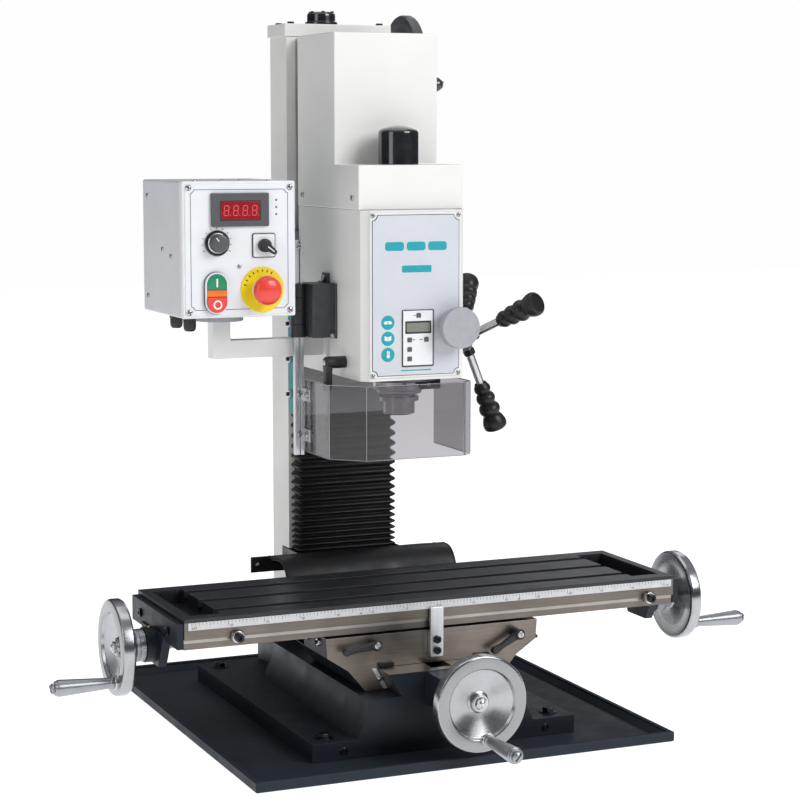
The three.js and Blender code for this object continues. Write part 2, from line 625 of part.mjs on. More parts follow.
// Soft grip in three growing steps, with a blind hole for the rod.
function capstanGrip(n) {
  const bore = CAPSTAN.rodRadius + GAP;
  const start = 72;
  const end = CAPSTAN.reach + 16;
  const hole = CAPSTAN.reach + 6;
  const profile = [
    [0, hole], [bore, hole], [bore, start], [9, start], [12, start + 16], [10, start + 18],
    [14, start + 34], [11.5, start + 36], [17.5, start + 58], [16, end - 5], [10, end], [0, end + 1],
  ];
  return capstanArm(armAngle(n), turned(profile, 'y', SMALL)).translate(-8, 0, 0);
}

function feedKnob() {
  const { radius, face, back, shaftRadius } = FEED;
  const wheelY = CAPSTAN.y;
  return turned([
    [0, face], [radius - 1.5, face], [radius, face + 1.5], [radius, back - 1], [radius - 1, back],
    [11, back], [11, back + 8], [shaftRadius, back + 9], [shaftRadius, wheelY - 15], [9.5, wheelY - 15],
    [9.5, wheelY + 15], [0, wheelY + 15],
  ], 'y');
}

function quillLock() {
  const shaft = rod('x', LOCK.radius, -QUILL.radius - 46.5, -QUILL.radius - 1, 0, 0, SMALL);
  const hub = rod('x', 8, -108.5, -HEAD.halfX - GAP, 0, 0, SMALL);
  const handle = prism('x', [[-6, 7], [6, 7], [5, -36], [0, -38], [-5, -36]], -108, -98);
  return join(shaft, hub, handle);
}

// ---- guard --------------------------------------------------------------------------------
function guardBracket() {
  const { bottom, top } = HINGE;
  const side = -HEAD.halfX - GAP;
  const plate = box(side - 3, side, 36, 104, bottom - 1, top + 1);
  const ear = box(side - 3, side, 64, 88, top, top + 14);
  const housing = box(HINGE.x + HINGE.radius + 0.6, side - 1, 45, 100, bottom, top);
  return join(plate, housing, ear);
}

function hingeBarrel() {
  const play = GAP;
  const hole = box(-RAIL.halfX - play, RAIL.halfX + play, -RAIL.halfY - play, RAIL.halfY + play, -200, 200);
  return cut(rod('z', HINGE.radius, 0, HINGE.top - HINGE.bottom, 0, 0, ROUND), hole);
}

function guardRail() {
  return box(-RAIL.halfX, RAIL.halfX, -RAIL.halfY, RAIL.halfY, RAIL.bottom, RAIL.top);
}

// A clear sheet bent round the front: a long slant at the hinge side and a short one at the other.
function guardPanel() {
  const { back, front, thick, bottom, top, left, leftSide, leftCorner } = GUARD;
  const { right, rightSide, rightCorner } = GUARD;
  const inset = thick * Math.tan(Math.PI / 8);
  const outer = [
    [left, back], [left, leftSide], [leftCorner, front],
    [rightCorner, front], [right, rightSide], [right, back],
  ];
  const inner = [
    [right - thick, back], [right - thick, rightSide + inset], [rightCorner - inset, front + thick],
    [leftCorner + inset, front + thick], [left + thick, leftSide + inset], [left + thick, back],
  ];
  return prism('z', [...outer, ...inner], bottom, top);
}

// ---- control box --------------------------------------------------------------------------
function controlArm() {
  const { x, y, half, bottom, top, postTop } = ARM;
  const side = -HEAD.halfX - GAP;
  const plate = box(side - 4, side, y - 26, y + 26, 503, top + 1);
  const beam = box(x - half, side - 2, y - half, y + half, bottom, top);
  const post = box(x - half, x + half, y - half, y + half, bottom, postTop - GAP);
  return join(plate, beam, post, rod('z', 10, postTop - 5, BOX.bottom + 10, x, y));
}

// The box, built around its swivel axis: a sheet shell that the cable glands open into.
function controlBox() {
  const { halfX, halfY, bottom, top, sheet } = BOX;
  const shell = cut(
    box(-halfX, halfX, -halfY, halfY, bottom, top),
    box(-halfX + sheet, halfX - sheet, -halfY + sheet, halfY - sheet, bottom + sheet, top - sheet),
  );
  const flange = rod('z', 34, ARM.postTop, bottom + 1, 0, 0);
  const boss = rod('z', 16, bottom, bottom + 14, 0, 0, ROUND);
  const glands = [15, -45].map((y) => rod('z', 9, bottom - 21, bottom + 1, -57, y, SMALL));
  const bores = [15, -45].map((y) => rod('z', 4, bottom - 22, bottom + sheet + 1, -57, y, 12));
  const face = -halfY;
  const bezel = box(-41, 41, face - 4, face + 1, 706, 751);
  const switchPlate = box(18, 50, face - 2, face + 1, 664, 696);
  const stopRing = rod('y', 31, face - 2, face + 1, 31.5, 620);
  const stopNeck = rod('y', 13, face - 12, face + 1, 31.5, 620);
  const pushPlate = join(
    rod('y', 16.7, face - 4, face + 1, -35, 629), rod('y', 16.7, face - 4, face + 1, -35, 605),
    box(-51.7, -18.3, face - 4, face + 1, 605, 629),
  );
  const hole = (radius, x, z) => rod('y', radius + GAP, face - 13, face + sheet + 1, x, z, SMALL);
  const holes = [
    hole(12, -35, 630), hole(12, -35, 604), hole(6, 31.5, 620), hole(5, -32.5, 684), hole(5, 34, 680),
    rod('z', 10 + GAP, ARM.postTop - 1, bottom + 12),
  ];
  const whole = join(shell, flange, boss, ...glands, bezel, switchPlate, stopRing, stopNeck, pushPlate);
  return cut(whole, ...bores, ...holes);
}

// Push button around Y, its face towards -Y; the stem passes the front sheet.
function pushButton(radius, rise) {
  return turned([[0, -4 - rise], [radius - 1, -4 - rise], [radius, -3 - rise], [radius, 8], [0, 8]], 'y');
}

function stopMushroom() {
  return turned([
    [0, -32], [11, -31], [17, -28], [19.7, -23], [19.7, -18], [9, -17], [6, -17], [6, 8], [0, 8],
  ], 'y');
}

function speedKnob() {
  return turned([
    [0, -18], [11, -18], [12.5, -16], [13.5, -5], [17.5, -4], [17.5, -GAP], [5, -GAP], [5, 8], [0, 8],
  ], 'y', ROUND);
}

function directionSwitch() {
  const spindleRod = rod('y', 5, -5, 8, 0, 0, SMALL);
  const base = rod('y', 9, -9, -2 - GAP, 0, 0, ROUND);
  const lever = box(-4, 17, -13, -8, -3.5, 3.5);
  return join(spindleRod, base, lever);
}

// ---- assembly -----------------------------------------------------------------------------
add('drip_tray', dripTray(), M.slate);
add('base_casting', baseCasting(), M.slate);
add('column', column(), M.offWhite);
add('column_top_plate', topPlate(), M.offWhite);
add('bearing_cap', bearingCap(), M.black, [Z_SCREW.x, Z_SCREW.y, 0]);
add('column_bellows', bellows(), M.rubber);
add('way_cover', wayCover(), M.rubber);

add('saddle', saddle(), M.iron);
add('centre_stop', centreStop(), M.steel);
add('table_lock_left', clampLever(48), M.black, [-91, SADDLE.front - GAP, 147], [0, -0.14, 0]);
add('table_lock_right', clampLever(46), M.black, [123, SADDLE.front - GAP, 143], [0, -0.5, 0]);
add('saddle_lock', saddleLock(), M.black, [SADDLE.halfX + GAP, -66, 139]);

add('table', table(), M.iron);
add('scale_strip', scaleStrip(), M.aluminium);
add('left_bracket', endBracket(), M.slate, [TABLE.left, 0, 0]);
const right = add('right_bracket', endBracket(), M.slate, [TABLE.right, 2 * X_AXIS.y, 0]);
right.rotation.z = Math.PI;
add('table_stop_left', tableStop(), M.steel, [-285, TABLE.front - GAP, 175]);
add('table_stop_right', tableStop(), M.steel, [333, TABLE.front - GAP, 175]);

add('x_screw', xScrew(), M.steel, [0, X_AXIS.y, X_AXIS.z]);
const leftFace = TABLE.left - TABLE_END.boss - DIAL.left - 2 * GAP;
const rightFace = TABLE.right + TABLE_END.boss + DIAL.right + 2 * GAP;
add('x_dial_left', dial(DIAL.left), M.aluminium, [leftFace + GAP, X_AXIS.y, X_AXIS.z]);
add('x_dial_right', dial(DIAL.right), M.aluminium, [rightFace - DIAL.right - GAP, X_AXIS.y, X_AXIS.z]);
crank('x_left', [leftFace - GAP - WHEEL.hubBack, X_AXIS.y, X_AXIS.z], [0, Math.PI, 0], 0.576 - DOWN);
crank('x_right', [rightFace + GAP + WHEEL.hubBack, X_AXIS.y, X_AXIS.z], [0, 0, 0], DOWN - 0.733);

add('y_screw', yScrew(), M.steel, [0, 0, Y_AXIS.z]);
add('y_dial', dial(DIAL.front), M.aluminium, [0, Y_AXIS.blockFront - GAP, Y_AXIS.z], [0, 0, -Math.PI / 2]);
const yFace = Y_AXIS.blockFront - DIAL.front - 3 * GAP - WHEEL.hubBack;
crank('y', [0, yFace, Y_AXIS.z], [0, 0, -Math.PI / 2], DOWN + 0.16);

add('z_shaft', zShaft(), M.steel, [0, Z_SCREW.y, Z_SHAFT.z]);
add('z_screw', zScrew(), M.steel, [Z_SCREW.x, Z_SCREW.y, 0]);
const zFace = Z_SHAFT.bossEnd + GAP + WHEEL.hubBack;
crank('z', [zFace, Z_SCREW.y, Z_SHAFT.z], [0, 0, 0], DOWN + 0.66, ALL_BLACK);

add('z_carriage', carriage(), M.teal);
add('head_casting', headCasting(), M.offWhite);
add('head_cover', headCover(), M.offWhite);
add('front_panel', frontPanel(), M.greyPaint);
add('drawbar_cap', drawbarCap(), M.black);
add('drive_motor', driveMotor(), M.charcoal);
add('motor_pulley', motorPulley(), M.aluminium, [0, DRIVE.motorY, 0]);
add('spindle_pulley', spindlePulley(), M.aluminium);
add('quill', quill(), M.steel);
add('spindle', spindle(), M.steel);
add('capstan_hub', capstanHub(), M.steel, [CAPSTAN.hubEnd, CAPSTAN.y, CAPSTAN.z]);
for (let n = 0; n < CAPSTAN.arms; n += 1) {
  add(`capstan_grip_${n + 1}`, capstanGrip(n), M.rubber, [CAPSTAN.hubEnd, CAPSTAN.y, CAPSTAN.z]);
}
add('feed_knob', feedKnob(), M.greyPaint, [FEED.x, 0, FEED.z]);
add('quill_lock', quillLock(), M.black, [0, LOCK.y, LOCK.z]);

add('guard_bracket', guardBracket(), M.black);
add('hinge_barrel', hingeBarrel(), M.black, [HINGE.x, HINGE.y, HINGE.bottom]);
add('guard_rail', guardRail(), M.aluminium, [HINGE.x, HINGE.y, 0]);
add('guard_panel', guardPanel(), M.smoke);

add('control_arm', controlArm(), M.offWhite);
add('control_box', controlBox(), M.boxGrey, [ARM.x, ARM.y, 0]);
add('start_button', pushButton(12, 2), M.green, [ARM.x - 35, BOX_FRONT, 630]);
add('stop_button', pushButton(12, 4), M.red, [ARM.x - 35, BOX_FRONT, 604]);
add('emergency_stop', stopMushroom(), M.red, [ARM.x + 31.5, BOX_FRONT, 620]);
add('speed_knob', speedKnob(), M.black, [ARM.x - 32.5, BOX_FRONT, 684]);
add('direction_switch', directionSwitch(), M.black, [ARM.x + 34, BOX_FRONT, 680], [0, 0.65, 0]);

export default machine;
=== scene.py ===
"""Looks of the benchtop milling machine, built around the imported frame.

Lengths are in millimetres, and make() turns them into metres. Camera and light places are in metres.
"""
import json
import math

import bmesh
import bpy
from mathutils import Matrix, Vector


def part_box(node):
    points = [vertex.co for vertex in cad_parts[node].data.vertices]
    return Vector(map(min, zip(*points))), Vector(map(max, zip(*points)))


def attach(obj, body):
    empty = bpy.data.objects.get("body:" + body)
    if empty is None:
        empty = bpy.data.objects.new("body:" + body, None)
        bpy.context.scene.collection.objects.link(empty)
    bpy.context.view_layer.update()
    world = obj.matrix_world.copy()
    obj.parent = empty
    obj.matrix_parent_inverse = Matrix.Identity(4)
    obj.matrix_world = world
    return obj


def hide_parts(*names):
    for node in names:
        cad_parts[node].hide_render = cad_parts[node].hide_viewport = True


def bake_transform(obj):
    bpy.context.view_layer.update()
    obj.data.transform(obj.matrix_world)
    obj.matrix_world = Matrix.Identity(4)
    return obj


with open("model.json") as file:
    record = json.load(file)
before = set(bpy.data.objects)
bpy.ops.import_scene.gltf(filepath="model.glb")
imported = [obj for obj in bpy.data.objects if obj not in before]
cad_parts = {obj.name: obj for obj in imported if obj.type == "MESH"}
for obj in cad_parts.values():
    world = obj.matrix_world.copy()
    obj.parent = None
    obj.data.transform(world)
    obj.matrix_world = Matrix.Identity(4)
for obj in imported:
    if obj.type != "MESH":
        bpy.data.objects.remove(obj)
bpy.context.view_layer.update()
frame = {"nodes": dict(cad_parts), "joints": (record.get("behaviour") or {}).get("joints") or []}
MM = 0.001  # one millimetre, in metres
X, Y, Z = Vector((1, 0, 0)), Vector((0, 1, 0)), Vector((0, 0, 1))
FINE = 112  # sides of a round piece
SMALL = 40  # sides of a small round piece
FORWARDS = Matrix.Rotation(math.pi / 2, 4, "X")
BLOCK_FACES = ((3, 2, 1, 0), (4, 5, 6, 7), (0, 1, 5, 4), (1, 2, 6, 5), (2, 3, 7, 6), (3, 0, 4, 7))


class Box:
    """A CAD node's box at rest, in millimetres."""

    def __init__(self, node):
        low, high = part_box(node)
        self.x0, self.y0, self.z0 = (v / MM for v in low)
        self.x1, self.y1, self.z1 = (v / MM for v in high)
        self.x, self.y, self.z = ((self.x0 + self.x1) / 2, (self.y0 + self.y1) / 2, (self.z0 + self.z1) / 2)


BOXES = {node: Box(node) for node in frame["nodes"]}
PIVOTS = {j["name"]: Vector(j.get("pos_m", (0, 0, 0))) / MM for j in frame["joints"]}


# ---- camera, light and floor ---------------------------------------------------------------
def camera():
    data = bpy.data.cameras.new("camera")
    data.lens = 97.5
    data.sensor_width = 36
    data.clip_end = 50
    shot = bpy.data.objects.new("camera", data)
    shot.location = (-1.194, -2.769, 0.821)
    down, turn = math.radians(6.83), math.radians(23.37)
    shot.rotation_euler = (math.pi / 2 - down, 0, -turn)
    bpy.context.scene.collection.objects.link(shot)
    bpy.context.scene.camera = shot


def area_light(name, place, target, size, power, tint=(1, 1, 1)):
    data = bpy.data.lights.new(name, "AREA")
    data.shape = "RECTANGLE"
    data.size, data.size_y = size
    data.energy = power
    data.color = tint
    lamp = bpy.data.objects.new(name, data)
    lamp.location = place
    lamp.rotation_euler = (Vector(target) - Vector(place)).to_track_quat("-Z", "Y").to_euler()
    bpy.context.scene.collection.objects.link(lamp)


def studio():
    """Soft box lights, a pale floor, and a sky that is dark near the horizon and grey above."""
    area_light("key", (1.6, -2.6, 2.3), (0, 0, 0.55), (1.8, 1.8), 78)
    area_light("fill", (-2.9, -1.3, 1.5), (0, 0, 0.5), (1.3, 2.0), 19)
    area_light("top", (0.0, 0.5, 3.4), (0, 0, 0.4), (2.4, 2.4), 20)
    area_light("rim", (1.9, 2.3, 1.9), (0, 0.1, 0.6), (1.2, 1.8), 7)
    world = bpy.data.worlds.new("sky")
    world.use_nodes = True
    g = Graph(world.node_tree)
    level = g.add("ShaderNodeSeparateXYZ", Vector=g.add("ShaderNodeTexCoord").outputs["Generated"])
    glow = g.ramp(level.outputs["Z"], [(0.0, (0.03, 0.031, 0.034)), (0.28, (0.05, 0.051, 0.055)),
                                       (0.62, (0.26, 0.265, 0.275)), (1.0, (0.42, 0.425, 0.44))])
    rays = g.add("ShaderNodeLightPath")
    seen = g.mix(rays.outputs["Is Camera Ray"], glow, (0.99, 0.99, 0.99))
    back = g.add("ShaderNodeBackground", Color=seen, Strength=1.0)
    out = g.add("ShaderNodeOutputWorld")
    g.link(back.outputs[0], out.inputs["Surface"])
    bpy.context.scene.world = world
    far, gap = 9e3, 0.5
    floor = make("floor", [(-far, -far, 0), (far, -far, 0), (far, far, 0), (-far, far, 0)], [(0, 1, 2, 3)])
    floor.location.z = -gap * MM
    pale = plain("floor", (0.42, 0.425, 0.43), 0.8, grain=0.005, scale=3, Specular_IOR_Level=0.1,
                 Emission_Color=(1.0, 1.0, 1.0), Emission_Strength=0.95)
    floor.data.materials.append(pale)
    bpy.context.scene.view_settings.view_transform = "Standard"


# ---- materials -----------------------------------------------------------------------------
class Graph:
    """Short names for making and joining shader nodes."""

    def __init__(self, tree):
        self.tree = tree
        tree.nodes.clear()

    def link(self, a, b):
        self.tree.links.new(a, b)

    def add(self, kind, **inputs):
        node = self.tree.nodes.new(kind)
        for key, value in inputs.items():
            socket = node.inputs[key.replace("_", " ")]
            if isinstance(value, bpy.types.NodeSocket):
                self.link(value, socket)
            elif isinstance(value, (tuple, list)) and len(value) == 3 and socket.type == "RGBA":
                socket.default_value = (*value, 1)
            else:
                socket.default_value = value
        return node

    def where(self):
        """Object coordinates, in metres."""
        return self.add("ShaderNodeTexCoord").outputs["Object"]

    def xyz(self):
        return self.add("ShaderNodeSeparateXYZ", Vector=self.where()).outputs

    def noise(self, scale, detail=3.0, stretch=(1, 1, 1), rough=0.55):
        place = self.add("ShaderNodeMapping", Vector=self.where(), Scale=stretch).outputs[0]
        node = self.add("ShaderNodeTexNoise", Vector=place, Scale=scale, Detail=detail, Roughness=rough)
        return node.outputs["Fac"]

    def brushed(self, along):
        """Fine lines along one axis of the object."""
        return self.noise(900, 3, {"x": (0.02, 1, 1), "y": (1, 0.02, 1), "z": (1, 1, 0.02)}[along])

    def math(self, how, a, b=0.0, c=0.0):
        node = self.tree.nodes.new("ShaderNodeMath")
        node.operation = how
        for socket, value in zip(node.inputs, (a, b, c)):
            if isinstance(value, bpy.types.NodeSocket):
                self.link(value, socket)
            else:
                socket.default_value = value
        return node.outputs[0]

    def blend(self, a, b, share):
        """Adds two values, the first with the given share."""
        return self.math("ADD", self.math("MULTIPLY", a, share), self.math("MULTIPLY", b, 1 - share))

    def spread(self, value, low, high):
        """Takes a value from about 0.3..0.7 to low..high."""
        return self.add("ShaderNodeMapRange", Value=value, From_Min=0.3, From_Max=0.7, To_Min=low,
                        To_Max=high).outputs[0]

    def between(self, value, low, high):
        """1 where a value in metres lies between two lengths in millimetres, and 0 elsewhere."""
        return self.math("MULTIPLY", self.math("GREATER_THAN", value, low * MM),
                         self.math("LESS_THAN", value, high * MM))

    def mix(self, factor, a, b):
        node = self.tree.nodes.new("ShaderNodeMix")
        node.data_type = "RGBA"
        for socket, value in ((node.inputs[0], factor), (node.inputs[6], a), (node.inputs[7], b)):
            if isinstance(value, bpy.types.NodeSocket):
                self.link(value, socket)
            else:
                socket.default_value = (*value, 1) if isinstance(value, (tuple, list)) else value
        return node.outputs[2]

    def ramp(self, value, stops):
        node = self.add("ShaderNodeValToRGB", Fac=value)
        band = node.color_ramp
        while len(band.elements) < len(stops):
            band.elements.new(0.5)
        for element, (place, color) in zip(band.elements, stops):
            element.position = place
            element.color = (*color, 1)
        return node.outputs[0]

    def cover(self, color, gloss, less, more, height, depth):
        """Joins a colour, a spread of roughness and a bump in millimetres to the shader."""
        self.link(color, self.surface.inputs["Base Color"])
        self.link(self.spread(gloss, less, more), self.surface.inputs["Roughness"])
        if depth:
            raised = self.add("ShaderNodeBump", Height=height, Distance=depth * MM, Strength=1.0)
            self.link(raised.outputs[0], self.surface.inputs["Normal"])


def shader(name, **inputs):
    """A new material with one principled shader. Returns the material and its graph."""
    material = bpy.data.materials.new(name)
    material.use_nodes = True
    g = Graph(material.node_tree)
    g.surface = g.add("ShaderNodeBsdfPrincipled", **inputs)
    out = g.add("ShaderNodeOutputMaterial")
    g.link(g.surface.outputs[0], out.inputs["Surface"])
    return material, g


def tint(color, by):
    """A colour made lighter or darker, up to white."""
    return tuple(min(1.0, c * by) for c in color)


def plain(name, color, rough, metal=0.0, grain=0.03, scale=60, bump=0.0, **more):
    """An even surface with slight changes in colour and gloss, and a fine bump in millimetres."""
    material, g = shader(name, Metallic=metal, **more)
    shade = g.mix(g.spread(g.noise(scale), 0, 1), tint(color, 1 - 3 * grain), tint(color, 1 + 3 * grain))
    g.cover(shade, g.noise(scale * 2.3, 4), rough - 0.06, rough + 0.06, g.noise(scale * 14, 2), bump)
    return material


def paint(name, color, rough, peel=0.05, edge_wear_and_highlight=(0.5, 0.5, 0.5), edge_wear_and_highlight_amount=0.25, coat=0.25, gleam=0.5):
    """Sprayed enamel: orange peel, faint smears, and edges made lighter, partly as wear and partly as a
    painted highlight.
    """
    material, g = shader(name, Coat_Weight=coat, Coat_Roughness=0.18, Specular_IOR_Level=gleam)
    body = g.mix(g.spread(g.noise(5, 5), 0, 1), tint(color, 0.95), tint(color, 1.03))
    # The edge mask from the Bevel node lightens the edges: partly wear, partly a painted highlight.
    rounded = g.tree.nodes.new("ShaderNodeBevel")
    rounded.samples = 4
    rounded.inputs["Radius"].default_value = 1.6 * MM
    normal = g.add("ShaderNodeNewGeometry").outputs["Normal"]
    across = g.add("ShaderNodeVectorMath", Vector=normal)
    across.operation = "DOT_PRODUCT"
    g.link(rounded.outputs[0], across.inputs[1])
    edge = g.math("MULTIPLY", g.math("SUBTRACT", 1.0, across.outputs["Value"]), 9.0)
    patchy = g.math("MULTIPLY", edge, g.spread(g.noise(90, 4), 0.0, 1.2))
    edge_wear_and_highlight_mask = g.math("MINIMUM", g.math("MULTIPLY", patchy, edge_wear_and_highlight_amount), 1.0)
    g.cover(g.mix(edge_wear_and_highlight_mask, body, edge_wear_and_highlight), g.noise(22, 4), rough - 0.07, rough + 0.08, g.noise(420, 2), peel)
    return material


def cast(name, color, rough):
    """Painted casting: a coarser grain than sheet metal, no clear coat, and edges made lighter, partly as
    wear and partly as a painted highlight.
    """
    return paint(name, color, rough, 0.12, tint(color, 2.2), 0.4, 0.0, 0.28)


def ground(name, color, rough, along="x", streak=0.5, metal=1.0, **more):
    """Ground or milled metal: fine lines along one axis, with stains and thin scratches."""
    material, g = shader(name, Metallic=metal, **more)
    lines = g.brushed(along)
    shade = g.blend(lines, g.noise(7, 6), streak)
    color = g.mix(g.spread(shade, 0, 1), tint(color, 0.72), tint(color, 1.18))
    g.cover(color, g.blend(lines, g.noise(16, 5), 0.5), rough - 0.1, rough + 0.12, lines, 0.012)
    return material


def turned_metal(name, color, rough, rings=0.5, rim_painted_shade=1.0):
    """Lathe-turned metal: rings round the piece's own Z axis, which stretch its highlights."""
    material, g = shader(name, Metallic=1.0, Anisotropic=0.7, Anisotropic_Rotation=0.25)
    tangent = g.tree.nodes.new("ShaderNodeTangent")
    tangent.direction_type = "RADIAL"
    tangent.axis = "Z"
    g.link(tangent.outputs[0], g.surface.inputs["Tangent"])
    xyz = g.xyz()
    flat = g.add("ShaderNodeCombineXYZ", X=xyz["X"], Y=xyz["Y"])
    length = g.add("ShaderNodeVectorMath", Vector=flat.outputs[0])
    length.operation = "LENGTH"
    radius = length.outputs["Value"]
    ring = g.add("ShaderNodeCombineXYZ", X=radius, Y=xyz["Z"])
    lines = g.add("ShaderNodeTexNoise", Vector=ring.outputs[0], Scale=2600.0, Detail=2.0).outputs["Fac"]
    cloud = g.noise(40, 5)
    shade = g.mix(g.spread(cloud, 0, 1), tint(color, 0.88), tint(color, 1.06))
    # A factor below 1 darkens the rim face between the RIM_FACE radii: painted shade.
    if rim_painted_shade < 1:
        shade = g.mix(g.between(radius, *RIM_FACE), shade, tint(color, rim_painted_shade))
    g.cover(shade, g.blend(lines, cloud, rings), rough - 0.05, rough + 0.06, lines, 0.001)
    return material


def rubber(name, color, rough, bump=0.06, dust=0.35):
    """Dull rubber: fine pores, with grey dust in soft patches."""
    material, g = shader(name, Specular_IOR_Level=0.35)
    dusty = g.mix(g.spread(g.noise(18, 6), 0, dust), color, tint(color, 2.6))
    g.cover(dusty, g.noise(35, 4), rough - 0.08, rough + 0.1, g.noise(1500, 2), bump)
    return material


def smoky(name):
    """Smoke-tinted clear sheet with wiping marks."""
    material, g = shader(name, Transmission_Weight=1.0, IOR=1.46, Base_Color=(0.44, 0.425, 0.45))
    g.link(g.spread(g.noise(55, 5, (1, 1, 0.2)), 0.01, 0.07), g.surface.inputs["Roughness"])
    return material


def zones(name, skin, patches, rough=0.38, peel=0.1, along="x", gleam=0.3):
    """Painted casting with patches of another finish: (low, high, colour, metallic), in millimetres."""
    material, g = shader(name, Specular_IOR_Level=gleam)
    xyz = g.xyz()
    lines = g.spread(g.brushed(along), 0, 1)
    stains = g.spread(g.noise(7, 6), 0, 1)
    color = g.mix(g.spread(g.noise(5, 5), 0, 1), tint(skin, 0.94), tint(skin, 1.05))
    metallic = 0.0
    for low, high, bare, metal in patches:
        mask = None
        for axis, a, b in zip("XYZ", low, high):
            inside = g.between(xyz[axis], a, b)
            mask = inside if mask is None else g.math("MULTIPLY", mask, inside)
        grain = g.blend(lines, stains, 0.45)
        color = g.mix(mask, color, g.mix(grain, tint(bare, 0.72), tint(bare, 1.2)))
        metallic = g.math("ADD", g.math("MULTIPLY", mask, metal),
                          g.math("MULTIPLY", g.math("SUBTRACT", 1.0, mask), metallic))
    g.link(metallic, g.surface.inputs["Metallic"])
    g.cover(color, g.noise(24, 4), rough - 0.08, rough + 0.1, g.noise(380, 2), peel)
    return material


RIM_FACE = (47.5, 63.0)  # radii between which a handwheel's rim face is darkened as painted shade
WHITE = (0.78, 0.785, 0.76)
SLATE = (0.014, 0.018, 0.028)
IRON = (0.235, 0.205, 0.18)
BARE_IRON = (0.34, 0.33, 0.31)


